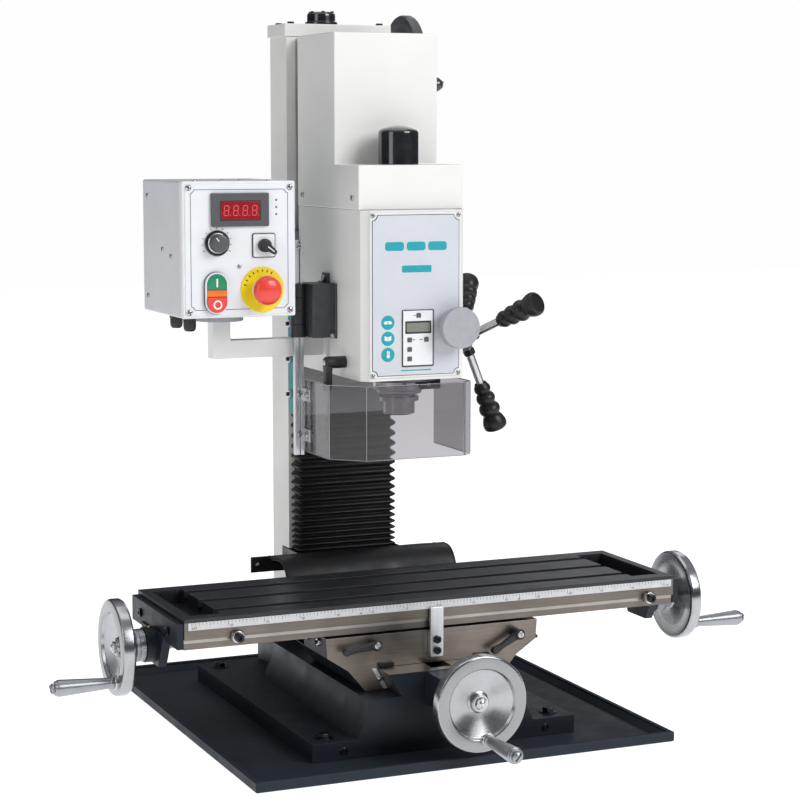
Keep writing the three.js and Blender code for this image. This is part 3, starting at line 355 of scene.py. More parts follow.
def build_materials():
    return {
        "white": paint("white_enamel", WHITE, 0.38, edge_wear_and_highlight=(0.62, 0.62, 0.6)),
        "white_sheet": paint("white_sheet", (0.80, 0.805, 0.785), 0.36, 0.035, (0.66, 0.66, 0.64), 0.2),
        "slate": cast("slate_casting", SLATE, 0.44),
        "slate_sheet": paint("slate_sheet", (0.022, 0.029, 0.040), 0.5, 0.06, (0.10, 0.11, 0.13), 0.35,
                             coat=0.0, gleam=0.16),
        "ways": zones("base_ways", SLATE, [
            ((-84.6, -164.5, 80.4), (84.6, 204.9, 130), BARE_IRON, 1.0),
        ], along="y"),
        "column": zones("column_enamel", WHITE, [
            ((-67, 200, 112), (67, 224.4, 972), (0.50, 0.50, 0.49), 1.0),
            ((-170, 182, 191), (170, 252, 216), (0.012, 0.012, 0.014), 0.0),
        ], along="z", gleam=0.5),
        "saddle": zones("saddle_iron", SLATE, [
            ((-160, -123, 80), (160, -121.2, 160), (0.24, 0.21, 0.185), 1.0),
            ((-160, -123, 157.4), (160, 90, 172), BARE_IRON, 1.0),
        ], 0.4, 0.05),
        "charcoal": paint("charcoal_enamel", (0.075, 0.077, 0.088), 0.42, edge_wear_and_highlight=(0.2, 0.2, 0.21)),
        "teal": zones("teal_casting", (0.009, 0.22, 0.26), [
            ((-90, 180, 410), (90, 188.6, 700), (0.30, 0.30, 0.30), 1.0),
        ]),
        "panel": plain("panel_grey", (0.60, 0.62, 0.67), 0.42, grain=0.008, scale=25, bump=0.01),
        "panel_edge": plain("panel_white", (0.80, 0.81, 0.83), 0.36, grain=0.01, scale=25),
        "box_face": plain("box_face_grey", (0.78, 0.80, 0.84), 0.42, grain=0.008, scale=25, bump=0.01),
        "box": plain("box_grey", (0.63, 0.64, 0.67), 0.42, grain=0.01, scale=20, bump=0.02),
        "iron": ground("ground_iron", IRON, 0.38, "x", streak=0.35),
        "table": zones("table_iron", (0.20, 0.175, 0.155), [
            ((-400, -130, 160), (400, 90, 198.1), (0.20, 0.175, 0.155), 1.0),
            ((-344, -106, 182), (361, 66, 202.4), (0.020, 0.021, 0.024), 0.2),
            ((-400, -130, 198.1), (400, 90, 204), (0.050, 0.052, 0.060), 0.55),
            ((-400, -123.5, 170), (400, -110, 176.5), (0.42, 0.40, 0.37), 1.0),
        ], 0.36, 0.02),
        "steel": turned_metal("turned_steel", (0.66, 0.66, 0.67), 0.3),
        "bright": turned_metal("polished_aluminium", (0.62, 0.63, 0.65), 0.24),
        # The handwheels' rim faces are darkened as painted shade.
        "wheel": turned_metal("wheel_aluminium", (0.44, 0.45, 0.47), 0.25, rim_painted_shade=0.75),
        "satin": turned_metal("satin_aluminium", (0.40, 0.41, 0.43), 0.42),
        "rail": ground("drawn_aluminium", (0.66, 0.67, 0.69), 0.3, "z", 0.7),
        "scale": plain("scale_plate", (0.62, 0.625, 0.64), 0.4, 0.5, 0.02, 80),
        "ink": plain("ink", (0.015, 0.015, 0.018), 0.5, grain=0.1, scale=200),
        "screw": turned_metal("zinc_screw", (0.62, 0.62, 0.62), 0.28),
        "black_screw": turned_metal("black_screw", (0.045, 0.045, 0.05), 0.35),
        "black": plain("black_plastic", (0.016, 0.016, 0.019), 0.38, grain=0.1, scale=90, bump=0.02),
        "grey_black": plain("switch_box_plastic", (0.062, 0.064, 0.074), 0.45, 0, 0.05, 90, 0.02),
        "gloss_black": plain("gloss_black", (0.016, 0.017, 0.02), 0.16, grain=0.1, scale=60, Coat_Weight=0.8),
        "grey_knob": plain("grey_plastic", (0.36, 0.37, 0.40), 0.45, grain=0.02, scale=90, bump=0.03),
        "bellows": rubber("bellows_cloth", (0.0055, 0.0055, 0.0065), 0.42),
        "cover": rubber("cover_rubber", (0.0045, 0.005, 0.006), 0.5, 0.03, 0.3),
        "grip": rubber("grip_rubber", (0.011, 0.011, 0.012), 0.34, 0.02, 0.3),
        "smoke": smoky("smoked_sheet"),
        # Lines on the guard's bends and rims: painted highlight, on the rims partly polished edge.
        "edge_and_bend_highlight": plain("polished_edge_and_bend_highlight", (0.52, 0.52, 0.55), 0.2, grain=0.02, Transmission_Weight=0.5),
        "green": plain("green_plastic", (0.008, 0.24, 0.11), 0.3, grain=0.02, Coat_Weight=0.3),
        "orange": plain("orange_lens", (0.85, 0.17, 0.01), 0.25, grain=0.02, Coat_Weight=0.5),
        "red": plain("red_plastic", (0.80, 0.055, 0.04), 0.3, grain=0.02, Coat_Weight=0.3),
        "yellow": plain("yellow_plate", (0.86, 0.66, 0.0), 0.4, grain=0.02),
        "mark": plain("white_print", (0.85, 0.85, 0.85), 0.5, grain=0.01),
        "teal_print": plain("teal_print", (0.0, 0.33, 0.40), 0.45, grain=0.02, scale=120),
        "window": plain("red_window", (0.33, 0.012, 0.02), 0.12, grain=0.03, Coat_Weight=1.0),
        "segment": plain("dim_segment", (0.62, 0.10, 0.11), 0.3, grain=0.02),
        "lcd": plain("lcd_glass", (0.17, 0.19, 0.14), 0.15, grain=0.02, Coat_Weight=1.0),
        "brass": turned_metal("brass", (0.62, 0.43, 0.16), 0.3),
        "belt": rubber("belt_rubber", (0.015, 0.015, 0.015), 0.6),
    }


# ---- mesh helpers --------------------------------------------------------------------------
def make(name, points, faces):
    """A new mesh object from points in millimetres."""
    mesh = bpy.data.meshes.new(name)
    mesh.from_pydata([tuple(c * MM for c in p) for p in points], [], faces)
    mesh.update()
    piece = bpy.data.objects.new(name, mesh)
    bpy.context.scene.collection.objects.link(piece)
    return piece


def shade(mesh, smooth):
    for face in mesh.polygons:
        face.use_smooth = smooth


def soften(piece, width, segments=3, angle=32, clean=False):
    """Rounds the hard edges, with weighted normals so that the faces between them stay flat."""
    shade(piece.data, True)
    if clean:
        weld = piece.modifiers.new("weld", "WELD")
        weld.merge_threshold = 0.02 * MM
        merge = piece.modifiers.new("merge", "DECIMATE")
        merge.decimate_type = "DISSOLVE"
        merge.angle_limit = math.radians(1.0)
    if width:
        bevel = piece.modifiers.new("bevel", "BEVEL")
        bevel.width = width * MM
        bevel.segments = segments
        bevel.limit_method = "ANGLE"
        bevel.angle_limit = math.radians(angle)
        bevel.harden_normals = False
        bevel.use_clamp_overlap = True
    even = piece.modifiers.new("normals", "WEIGHTED_NORMAL")
    even.keep_sharp = True
    return piece


def stand(piece, at, axis=Z, turn=0.0):
    """Puts the piece's own Z axis along axis, with its origin at a place in millimetres."""
    spin = Matrix.Rotation(turn, 4, "Z")
    lean = Z.rotation_difference(Vector(axis)).to_matrix().to_4x4()
    piece.matrix_world = Matrix.Translation(Vector(at) * MM) @ lean @ spin
    return piece


def finish(piece, material, body, *nodes):
    """Gives a piece its material and slot, the body it rides on, and the CAD nodes it replaces."""
    piece.data.materials.clear()
    piece.data.materials.append(M[material])
    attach(piece, body)
    if nodes:
        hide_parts(*nodes)
    return piece


def lathe(name, profile, at=(0, 0, 0), axis=Z, sides=FINE, bevel=0.5, closed=False, turn=0.0):
    """Turns (radius, height) points round the piece's own Z axis. A closed profile leaves a bore."""
    points, faces = [], []
    rings = []
    for r, h in profile:
        if r < 1e-6:
            rings.append([len(points)])
            points.append((0, 0, h))
            continue
        rings.append(list(range(len(points), len(points) + sides)))
        points.extend((r * math.cos(2 * math.pi * i / sides), r * math.sin(2 * math.pi * i / sides), h)
                      for i in range(sides))
    pairs = list(zip(rings, rings[1:])) + ([(rings[-1], rings[0])] if closed else [])
    for low, high in pairs:
        for i in range(sides):
            j = (i + 1) % sides
            corners = [low[i % len(low)], low[j % len(low)], high[j % len(high)], high[i % len(high)]]
            face = list(dict.fromkeys(corners))
            if len(face) > 2:
                faces.append(face)
    piece = make(name, points, faces)
    tidy_normals(piece)
    soften(piece, bevel, 2, 30)
    return stand(piece, at, axis, turn)


def tidy_normals(piece):
    """Makes the faces look outwards."""
    work = bmesh.new()
    work.from_mesh(piece.data)
    bmesh.ops.recalc_face_normals(work, faces=work.faces)
    work.to_mesh(piece.data)
    work.free()


def slab(name, low, high, bevel=1.0, segments=3):
    """A block with rounded edges."""
    (x0, y0, z0), (x1, y1, z1) = low, high
    points = [(x, y, z) for z in (z0, z1) for x, y in ((x0, y0), (x1, y0), (x1, y1), (x0, y1))]
    return soften(make(name, points, BLOCK_FACES), bevel, segments)


def prism(name, outline, axis, low, high, bevel=1.0, segments=3, angle=32):
    """An outline in the plane across a row axis, pulled from low to high along it."""
    orders = {"x": lambda a, b, c: (c, a, b), "y": lambda a, b, c: (a, c, b), "z": lambda a, b, c: (a, b, c)}
    order = orders[axis]
    n = len(outline)
    points = [order(a, b, c) for c in (low, high) for a, b in outline]
    faces = [tuple(range(n)), tuple(range(n, 2 * n))]
    faces += [(i, (i + 1) % n, n + (i + 1) % n, n + i) for i in range(n)]
    piece = make(name, points, faces)
    tidy_normals(piece)
    return soften(piece, bevel, segments, angle)


def rounded(width, height, radius, x=0.0, z=0.0, steps=6):
    """Outline of a rectangle with round corners."""
    radius = min(radius, width / 2 - 1e-3, height / 2 - 1e-3)
    points = []
    for quarter, (sx, sz) in enumerate(((1, 1), (-1, 1), (-1, -1), (1, -1))):
        cx, cz = x + sx * (width / 2 - radius), z + sz * (height / 2 - radius)
        for i in range(steps + 1):
            a = math.pi / 2 * (quarter + i / steps)
            points.append((cx + radius * math.cos(a), cz + radius * math.sin(a)))
    return points


def join(name, pieces):
    """Joins pieces that share one material into one mesh in the row frame, with their modifiers applied."""
    deps = bpy.context.evaluated_depsgraph_get()
    bpy.context.view_layer.update()
    deps.update()
    work = bmesh.new()
    for piece in pieces:
        mesh = bpy.data.meshes.new_from_object(piece.evaluated_get(deps))
        mesh.transform(piece.matrix_world)
        work.from_mesh(mesh)
        bpy.data.meshes.remove(mesh)
    mesh = bpy.data.meshes.new(name)
    work.to_mesh(mesh)
    work.free()
    for piece in pieces:
        bpy.data.objects.remove(piece)
    shade(mesh, True)
    joined = bpy.data.objects.new(name, mesh)
    bpy.context.scene.collection.objects.link(joined)
    return joined


def dress(node, material, bevel=1.0, segments=3, angle=28):
    """Gives a CAD node its material and rounded edges."""
    piece = frame["nodes"][node]
    soften(piece, bevel, segments, angle, clean=True)
    piece.data.materials.clear()
    piece.data.materials.append(M[material])
    return piece


def socket_screw(name, at, axis, body, radius=4.0, height=3.0, material="black_screw", sunk=2.2):
    """Cap screw with a hexagon socket, its head standing height above the place along axis."""
    r, s = radius, radius * 0.52
    head = lathe(name, [(0, 0), (r, 0), (r, height - 0.5), (r - 0.5, height), (s, height)], sides=SMALL,
                 bevel=0.0)
    well = lathe(name + "_well", [(s, height), (s, height - sunk), (0, height - sunk)], sides=6, bevel=0.0)
    shade(well.data, False)
    screw = join(name, [head, well])
    stand(screw, at, axis)
    return finish(screw, material, body)


def slot_screw(name, at, axis, body, radius=3.2, height=1.6, material="screw", turn=0.4, cross=True):
    """Domed screw with one cross slot."""
    r = radius
    dome = lathe(name, [(0, height), (r * 0.5, height * 0.93), (r * 0.85, height * 0.6), (r, 0), (0, 0)],
                 sides=SMALL, bevel=0.0)
    reach, half = r * 0.8, r * 0.13
    bars = [slab(name + "_bar", (-reach, -half, height * 0.78), (reach, half, height + 0.12), 0.0)]
    if cross:
        bars.append(slab(name + "_bar2", (-half, -reach, height * 0.78), (half, reach, height + 0.12), 0.0))
    recess = join(name + "_recess", bars)
    finish(stand(recess, at, axis, turn), "ink", body)
    return finish(stand(dome, at, axis, turn), material, body)


def hexagon(radius):
    """Corners of a hexagon, the first of them along the first axis."""
    return [(radius * math.cos(math.pi / 3 * i), radius * math.sin(math.pi / 3 * i)) for i in range(6)]


def thread(name, radius, lead, length, at, axis, depth=1.2, segments=28):
    """Trapezoidal screw thread that starts at a place and runs along axis."""
    shape = [(0.0, radius - depth), (0.18, radius - depth), (0.32, radius), (0.68, radius),
             (0.82, radius - depth)]
    turns = int(length / lead)
    rows = []
    points = []
    for t in range(turns * segments + 1):
        angle = 2 * math.pi * t / segments
        rows.append(range(len(points), len(points) + len(shape)))
        points.extend((r * math.cos(angle), r * math.sin(angle), lead * (t / segments + u)) for u, r in shape)
    faces = []
    for low, high in zip(rows, rows[1:]):
        faces.extend((low[k], low[k + 1], high[k + 1], high[k]) for k in range(len(shape) - 1))
    for t in range((turns - 1) * segments + 1):
        low, high = rows[t], rows[t + segments]
        if t + 1 < len(rows) - segments:
            faces.append((low[len(shape) - 1], high[0], rows[t + 1 + segments][0],
                          rows[t + 1][len(shape) - 1]))
    piece = make(name, points, faces)
    shade(piece.data, False)
    return stand(piece, at, axis)


def numerals(name, words, size, body, material="ink"):
    """Flat printed numbers: words holds (text, place, outward axis, turn)."""
    pieces = []
    for text, place, axis, turn in words:
        data = bpy.data.curves.new(name, "FONT")
        data.body = text
        data.size = size * MM
        data.align_x = "CENTER"
        data.align_y = "CENTER"
        data.extrude = 0.05 * MM
        data.resolution_u = 2
        item = bpy.data.objects.new(name, data)
        bpy.context.scene.collection.objects.link(item)
        spin = Matrix.Rotation(turn, 4, "Z")
        item.matrix_world = Matrix.Translation(Vector(place) * MM) @ axis.to_4x4() @ spin
        pieces.append(item)
    return finish(join(name, pieces), material, body)


def arc(radius, start, end, steps, x=0.0, y=0.0):
    """Points of an arc, with its angles in radians."""
    angles = [start + (end - start) * k / steps for k in range(steps + 1)]
    return [(x + radius * math.cos(a), y + radius * math.sin(a)) for a in angles]


def notched(x, z, width, height, radius, spare=0.0, steps=8):
    """Outline of a rectangle with a round notch at each corner, short of the sides by spare degrees."""
    points = []
    for quarter, (sx, sz) in enumerate(((1, 1), (-1, 1), (-1, -1), (1, -1))):
        start, end = (math.radians(90 * quarter + turn) for turn in (270 - spare, 180 + spare))
        points += arc(radius, start, end, steps, x + sx * width / 2, z + sz * height / 2)
    return points


def grid(rows, columns):
    """Faces between rows of points, each of them with the same number of columns."""
    return [(k * columns + i, k * columns + i + 1, (k + 1) * columns + i + 1, (k + 1) * columns + i)
            for k in range(rows - 1) for i in range(columns - 1)]


def thicken(piece, thickness):
    """Gives a sheet its thickness, half of it to each side."""
    solid = piece.modifiers.new("thick", "SOLIDIFY")
    solid.thickness = thickness * MM
    solid.offset = 0


def fold(piece, material, node):
    """Gives a soft piece its material, hides the CAD node it stands in for, and bakes its place into its
    mesh.
    """
    piece.data.materials.append(M[material])
    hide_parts(node)
    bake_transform(piece)


def turned(name, profile, at, axis, material, body, *nodes, **how):
    """A lathe piece that is finished at once."""
    return finish(lathe(name, profile, at, axis, **how), material, body, *nodes)


def plate(name, outline, y, low, high, material, body, *nodes, bevel=0.0, segments=3):
    """A flat piece that faces forwards: an outline in x and z, from low to high in front of y."""
    return finish(prism(name, outline, "y", y - high, y - low, bevel, segments), material, body, *nodes)


def on_rim(at, lean, angle, radius, height):
    """Stands a raised mark on the rim of a wheel at a place, with the mark's length along its axis."""
    turned_out = Matrix.Rotation(angle, 4, "Z") @ Matrix.Translation((radius, 0, height))
    return (Matrix.Translation(at) @ lean @ turned_out
            @ Matrix.Rotation(-math.pi / 2, 4, "Y") @ Matrix.Rotation(math.pi, 4, "X"))


def on_disc(at, angle, radius):
    """Lays a raised mark on a disc that faces forwards, with the mark's length along its radius."""
    return (Matrix.Translation(at) @ FORWARDS @ Matrix.Rotation(angle, 4, "Z")
            @ Matrix.Translation((radius, 0, 0)))


def tube(name, points, radius, closed=False, sides=4):
    """A round wire through points, as one mesh."""
    data = bpy.data.curves.new(name, "CURVE")
    data.dimensions = "3D"
    data.bevel_depth = radius * MM
    data.bevel_resolution = sides
    data.use_fill_caps = not closed
    line = data.splines.new("POLY")
    line.points.add(len(points) - 1)
    for point, place in zip(line.points, points):
        point.co = (*(Vector(place) * MM), 1)
    line.use_cyclic_u = closed
    wire = bpy.data.objects.new(name, data)
    bpy.context.scene.collection.objects.link(wire)
    return join(name, [wire])


def ticks(name, count, place, size):
    """Thin raised marks: place(i) gives a mark's matrix in millimetres, and size(i) its length and width."""
    points, faces = [], []
    for i in range(count):
        long, wide = size(i)
        start = len(points)
        for z in (-0.1, 0.12):
            for x, y in ((0, -wide / 2), (long, -wide / 2), (long, wide / 2), (0, wide / 2)):
                points.append(tuple(place(i) @ Vector((x, y, z))))
        faces.extend(tuple(start + k for k in quad) for quad in BLOCK_FACES)
    return make(name, points, faces)


# ---- base and tray -------------------------------------------------------------------------
def base():
    """Drip tray with its inner lip, and the base casting with bolts, plugs, screws and wipers."""
    dress("drip_tray", "slate_sheet", 2.2, 4)
    tray = BOXES["drip_tray"]
    lip, floor, run = 8.0, 3.2, 9.0
    rings = [(lip - 0.5, tray.z1 - 3), (lip + 1.5, tray.z1 - 3.4), (lip + run, floor), (lip - 0.5, floor)]
    points, faces = [], []
    for inset, z in rings:
        x0, x1, y0, y1 = tray.x0 + inset, tray.x1 - inset, tray.y0 + inset, tray.y1 - inset
        points.extend([(x0, y0, z), (x1, y0, z), (x1, y1, z), (x0, y1, z)])
    for k in range(4):
        for i in range(4):
            j, m = (i + 1) % 4, (k + 1) % 4
            faces.append((4 * k + i, 4 * k + j, 4 * m + j, 4 * m + i))
    slope = make("tray_inner_lip", points, faces)
    tidy_normals(slope)
    finish(soften(slope, 0.8, 2), "slate_sheet", "base")
    dress("base_casting", "ways", 2.6, 4)
    casting = BOXES["base_casting"]
    foot = 28.0
    for n, (x, y) in enumerate((sx * 168, y) for sx in (-1, 1) for y in (-138, 292)):
        turned(f"foot_washer_{n}", [(6, 0), (12.5, 0), (12.5, 1.4), (6, 1.4)], (x, y, foot), Z,
               "black_screw", "base", bevel=0.4, closed=True)
        head = prism(f"foot_bolt_{n}", hexagon(8.5), "z", 0, 6, 0.8, 2)
        finish(stand(head, (x, y, foot + 1.2)), "black_screw", "base")
    for n, x in enumerate((-150, 150)):
        turned(f"foot_plug_{n}", [(0, 0), (5.6, 0), (5.6, 1.0), (4.6, 1.8), (0, 1.8)], (x, -164.8, 15), -Y,
               "black_screw", "base")
    for n, (x, z) in enumerate((sx * 23.5, z) for sx in (-1, 1) for z in (72.5, 104.5)):
        socket_screw(f"y_block_screw_{n}", (x, casting.y0, z), -Y, "base", 4.0, 2.4)
    saddle_front = BOXES["saddle"].y0
    for side in (-1, 1):
        outline = [(side * 60, 113), (side * 83, 113), (side * 83, 118), (side * 60, 118)]
        wiper = prism(f"way_wiper_{side + 2}", outline, "y", saddle_front - 4, saddle_front - 0.2, 0.6)
        finish(wiper, "cover", "saddle")


# ---- column --------------------------------------------------------------------------------
def column():
    """Column, top plate, bearing cap, the ring and screws round the Z shaft, and the strap's screws."""
    dress("column", "column", 1.6, 3)
    dress("column_top_plate", "white", 2.4, 4)
    lid = BOXES["column_top_plate"]
    for n, (x, y) in enumerate((sx * 70, y) for sx in (-1, 1) for y in (lid.y0 + 12, lid.y1 - 12)):
        socket_screw(f"top_plate_screw_{n}", (x, y, lid.z1), Z, "base", 5.0, 3.2)
    cap = BOXES["bearing_cap"]
    base_z, top = cap.z0, cap.z1
    profile = [(0, top), (15, top), (18.5, top - 0.8), (20.6, top - 3), (21, top - 6), (21, base_z + 5),
               (24, base_z + 4), (24, base_z), (14, base_z), (14, top - 3), (0, top - 3)]
    shape = [(r, h - base_z) for r, h in profile]
    place = (cap.x, cap.y, base_z)
    turned("bearing_cap_body", shape, place, Z, "gloss_black", "base", "bearing_cap", bevel=0.6)
    for n in range(6):
        a = math.pi / 3 * (n + 0.3)
        place = (cap.x + 17.0 * math.cos(a), cap.y + 17.0 * math.sin(a), top - 1.2)
        socket_screw(f"bearing_screw_{n}", place, Z, "base", 2.6, 2.2, "black_screw", 1.4)
    boss = PIVOTS["z_shaft_turn"]
    collar = [(12.0, 0), (22, 0), (22, 2.5), (20.5, 3.6), (12.0, 3.6)]
    turned("z_bearing_ring", collar, (97.5, boss.y, boss.z), X, "screw", "base", closed=True)
    for n in range(3):
        a = 2 * math.pi / 3 * n + 0.5
        socket_screw(f"z_boss_screw_{n}", (101.0, boss.y + 17.6 * math.cos(a), boss.z + 17.6 * math.sin(a)),
                     X, "base", 2.4, 1.2)
    for side in (-1, 1):
        slot_screw(f"strap_screw_{side + 2}", (side * 82.4, 240, 203.5), X * side, "base", 4.0, 2.0)
        slot_screw(f"strap_front_screw_{side + 2}", (side * 146, 182.8, 203.5), -Y, "base", 2.8, 1.3)


def bellows():
    """Black folded cloth, its pleats closer together at the bottom."""
    box = BOXES["column_bellows"]
    pleats, deep, corner = 38, 6.5, 5.0
    softened = ((0.0, 1.0), (0.13, 0.84), (0.37, 0.16), (0.5, 0.0), (0.63, 0.16), (0.87, 0.84))
    levels = [(n + t, out) for n in range(pleats) for t, out in softened] + [(pleats, 1.0)]
    points = []
    for place, out in levels:
        t = place / pleats
        z = box.z0 + 2 + (box.z1 - box.z0 - 4) * t * (0.45 + 0.55 * t * t)
        half, front = box.x1 - deep * (1 - out), box.y0 + deep * (1 - out)
        path = [(-half, box.y1 - 1), (-half, (box.y1 + front) / 2)]
        path += arc(corner, math.pi, math.pi * 1.5, 4, corner - half, front + corner)
        path += [(x, front) for x in (-half / 2, 0.0)]
        path += [(-x, y) for x, y in reversed(path[:-1])]
        points.extend((x, y, z) for x, y in path)
    cloth = make("bellows_cloth", points, grid(len(levels), len(path)))
    tidy_normals(cloth)
    shade(cloth.data, True)
    thicken(cloth, 0.9)
    cloth = join("column_bellows_cloth", [cloth])
    fold(cloth, "bellows", "column_bellows")
    outline = [(-78, 189), (78, 189), (78, 221), (70, 221), (70, 199), (-70, 199), (-70, 221), (-78, 221)]
    for end, z0, body in (("low", box.z0, "base"), ("high", box.z1 - 3, "carriage")):
        finish(prism(f"bellows_frame_{end}", outline, "z", z0 + 0.1, z0 + 2.9, 0.7), "black", body)


def way_cover():
    """Rubber sheet from the saddle over the ways to the strap, with a thick hem at each side."""
    box = BOXES["way_cover"]
    front, crest, strap = 89.0, 126.0, 181.5
    foot, shoulder, top, fall = box.z0 + 1.4, 172.0, box.z1 - 1.4, 11.2
    heel = foot + 3.5
    path = [(box.y0 + 1, foot), (front - 4, foot), (front - 0.5, heel)]
    path += [(front + 0.6 * math.sin(t * math.pi), heel + (shoulder - heel) * t)
             for t in (0.25, 0.5, 0.75, 1.0)]
    for step in range(1, 15):
        a = math.pi / 2 * step / 14
        path.append((crest - (crest - front) * math.cos(a) ** 0.9,
                     shoulder + (top - shoulder) * math.sin(a) ** 0.95))
    path += [(crest + (strap - crest) * t, top - fall * t ** 1.6) for t in (0.2, 0.4, 0.6, 0.8, 1.0)]
    columns, half = 44, box.x1 - 1.2
    bent = range(9, len(path) - 2)
    points = []
    for k, (y, z) in enumerate(path):
        for i in range(columns + 1):
            u = -1 + 2 * i / columns
            wave = 0.5 * math.sin(5.1 * u + 0.35 * k) + 0.35 * math.sin(11 * u - 0.2 * k)
            droop = 2.0 * u - 1.2 - 2.2 * abs(u) ** 6 if k in bent else 0.0
            sway = 0.35 * wave if 3 < k < 12 else 0.0
            rise = 0.4 * wave if 10 < k < 22 else 0.0
            points.append((half * u, y + sway, z + rise + droop))
    sheet = make("cover_sheet", points, grid(len(path), columns + 1))
    tidy_normals(sheet)
    thicken(sheet, 2.2)
    soften(sheet, 0.5, 2, 50)
    pieces = [sheet]
    for side in (-1, 1):
        edge = [(side * half, y, z + (2.0 * side - 3.4 if k in bent else 0)) for k, (y, z) in enumerate(path)]
        pieces.append(tube(f"cover_hem_{side + 2}", edge, 1.9))
    cover = join("way_cover_sheet", pieces)
    fold(cover, "cover", "way_cover")
    strip = slab("cover_clamp_strip", (-128, box.y0 + 0.2, foot + 1.6), (128, front - 5, foot + 4.2), 0.5)
    finish(strip, "black_screw", "saddle")
    for n in range(5):
        slot_screw(f"cover_screw_{n}", (-112 + 56 * n, box.y0 + 5, foot + 4.2), Z, "saddle", 2.6, 1.2)


# ---- saddle --------------------------------------------------------------------------------
def clamp_lever(name, node, body, hub, arm_turn, reach):
    """Black clamp lever that swings round Y, with a chrome screw in its hub."""
    outline = [(6.2 * math.cos(a), 6.2 * math.sin(a)) for a in (math.radians(30 * k) for k in range(-3, 4))]
    outline += [(-6, 5.2), (-reach + 12, 3.0), (-reach, 5.2), (-reach - 3.4, 3.8), (-reach - 5, 0),
                (-reach - 3.4, -3.8), (-reach, -5.2), (-reach + 12, -3.4), (-6, -5.2)]
    turn = Matrix.Rotation(arm_turn, 2)
    turned_outline = [tuple(turn @ Vector(p)) for p in outline]
    lever = prism(name + "_arm", [(hub.x + a, hub.z + b) for a, b in turned_outline], "y", hub.y - 17.5,
                  hub.y - 9, 1.6, 4)
    finish(lever, "black", body, node)
    turned(name + "_hub", [(0, 0), (6.6, 0), (6.6, 17), (7.4, 17.6), (7.4, 18.4), (6.2, 19.4), (0, 19.4)],
           hub, -Y, "black", body)
    socket_screw(name + "_screw", hub - 19.2 * Y, -Y, body, 4.6, 1.8, "screw", 1.4)


def saddle():
    """Saddle with its levers, centre stop, gib, and gib nuts and studs."""
    dress("saddle", "saddle", 1.2, 3)
    box = BOXES["saddle"]
    clamp_lever("lock_lever_left", "table_lock_left", "table_lock_left", Vector((-91, box.y0 - 0.3, 147)),
                0.14, 44)
    clamp_lever("lock_lever_right", "table_lock_right", "table_lock_right", Vector((123, box.y0 - 0.3, 143)),
                0.5, 42)
    side = BOXES["saddle_lock"]
    pin = PIVOTS["saddle_lock_swing"]
    lever = ((-36, -11), (-32, -14.5), (-14, -9), (5, -6), (7, 0), (5, 6), (-2, 6.5), (-16, -2.5))
    outline = [(pin.y + a, pin.z + b) for a, b in lever]
    finish(prism("saddle_lever_arm", outline, "x", side.x0 + 6.5, side.x1 - 1, 1.8, 4), "black",
           "saddle_lock", "saddle_lock")
    hub = [(0, 0), (7, 0), (7, 13), (6, 14), (0, 14)]
    turned("saddle_lever_hub", hub, (side.x0, pin.y, pin.z), X, "black", "saddle_lock")
    socket_screw("saddle_lever_screw", (side.x0 + 13.4, pin.y, pin.z), X, "saddle_lock", 4.4, 1.6, "screw",
                 1.2)
    dress("centre_stop", "rail", 1.0, 3)
    stop = BOXES["centre_stop"]
    for n, z in enumerate((131, 146)):
        socket_screw(f"centre_stop_screw_{n}", (stop.x, stop.y0, z), -Y, "saddle", 5.2, 3.4)
    wedge = [(-92, 111.5), (-75, 82.5), (-68.2, 82.5), (-85.4, 111.5)]
    finish(prism("saddle_gib", wedge, "y", box.y0 - 1.4, box.y0 + 30, 0.6), "scale", "saddle")
    slot_screw("saddle_gib_screw", (-80, box.y0 - 1.2, 97), -Y, "saddle", 4.2, 1.8)
    for n, y in enumerate((-95, -55, -15, 25, 55)):
        nut = prism(f"gib_nut_{n}", hexagon(5.6), "z", 0, 4, 0.5, 2)
        finish(stand(nut, (-box.x1 + 1.2, y, 149), -X), "screw", "saddle")
        turned(f"gib_stud_{n}", [(0, 0), (2.6, 0), (2.6, 7), (2.2, 7.6), (0, 7.6)], (-box.x1 + 1.2, y, 149),
               -X, "black_screw", "saddle")


def ball_oiler(name, at, axis, body):
    """Brass ring with a spring ball in it."""
    turned(name + "_ring", [(1.9, 0), (4.0, 0), (4.0, 0.9), (3.4, 1.3), (1.9, 0.6)], at, axis, "brass", body,
           sides=SMALL, bevel=0.2, closed=True)
    turned(name + "_ball", [(0, 1.2), (1.2, 0.9), (1.9, 0.2), (0, 0.1)], at, axis, "screw", body,
           sides=SMALL, bevel=0)


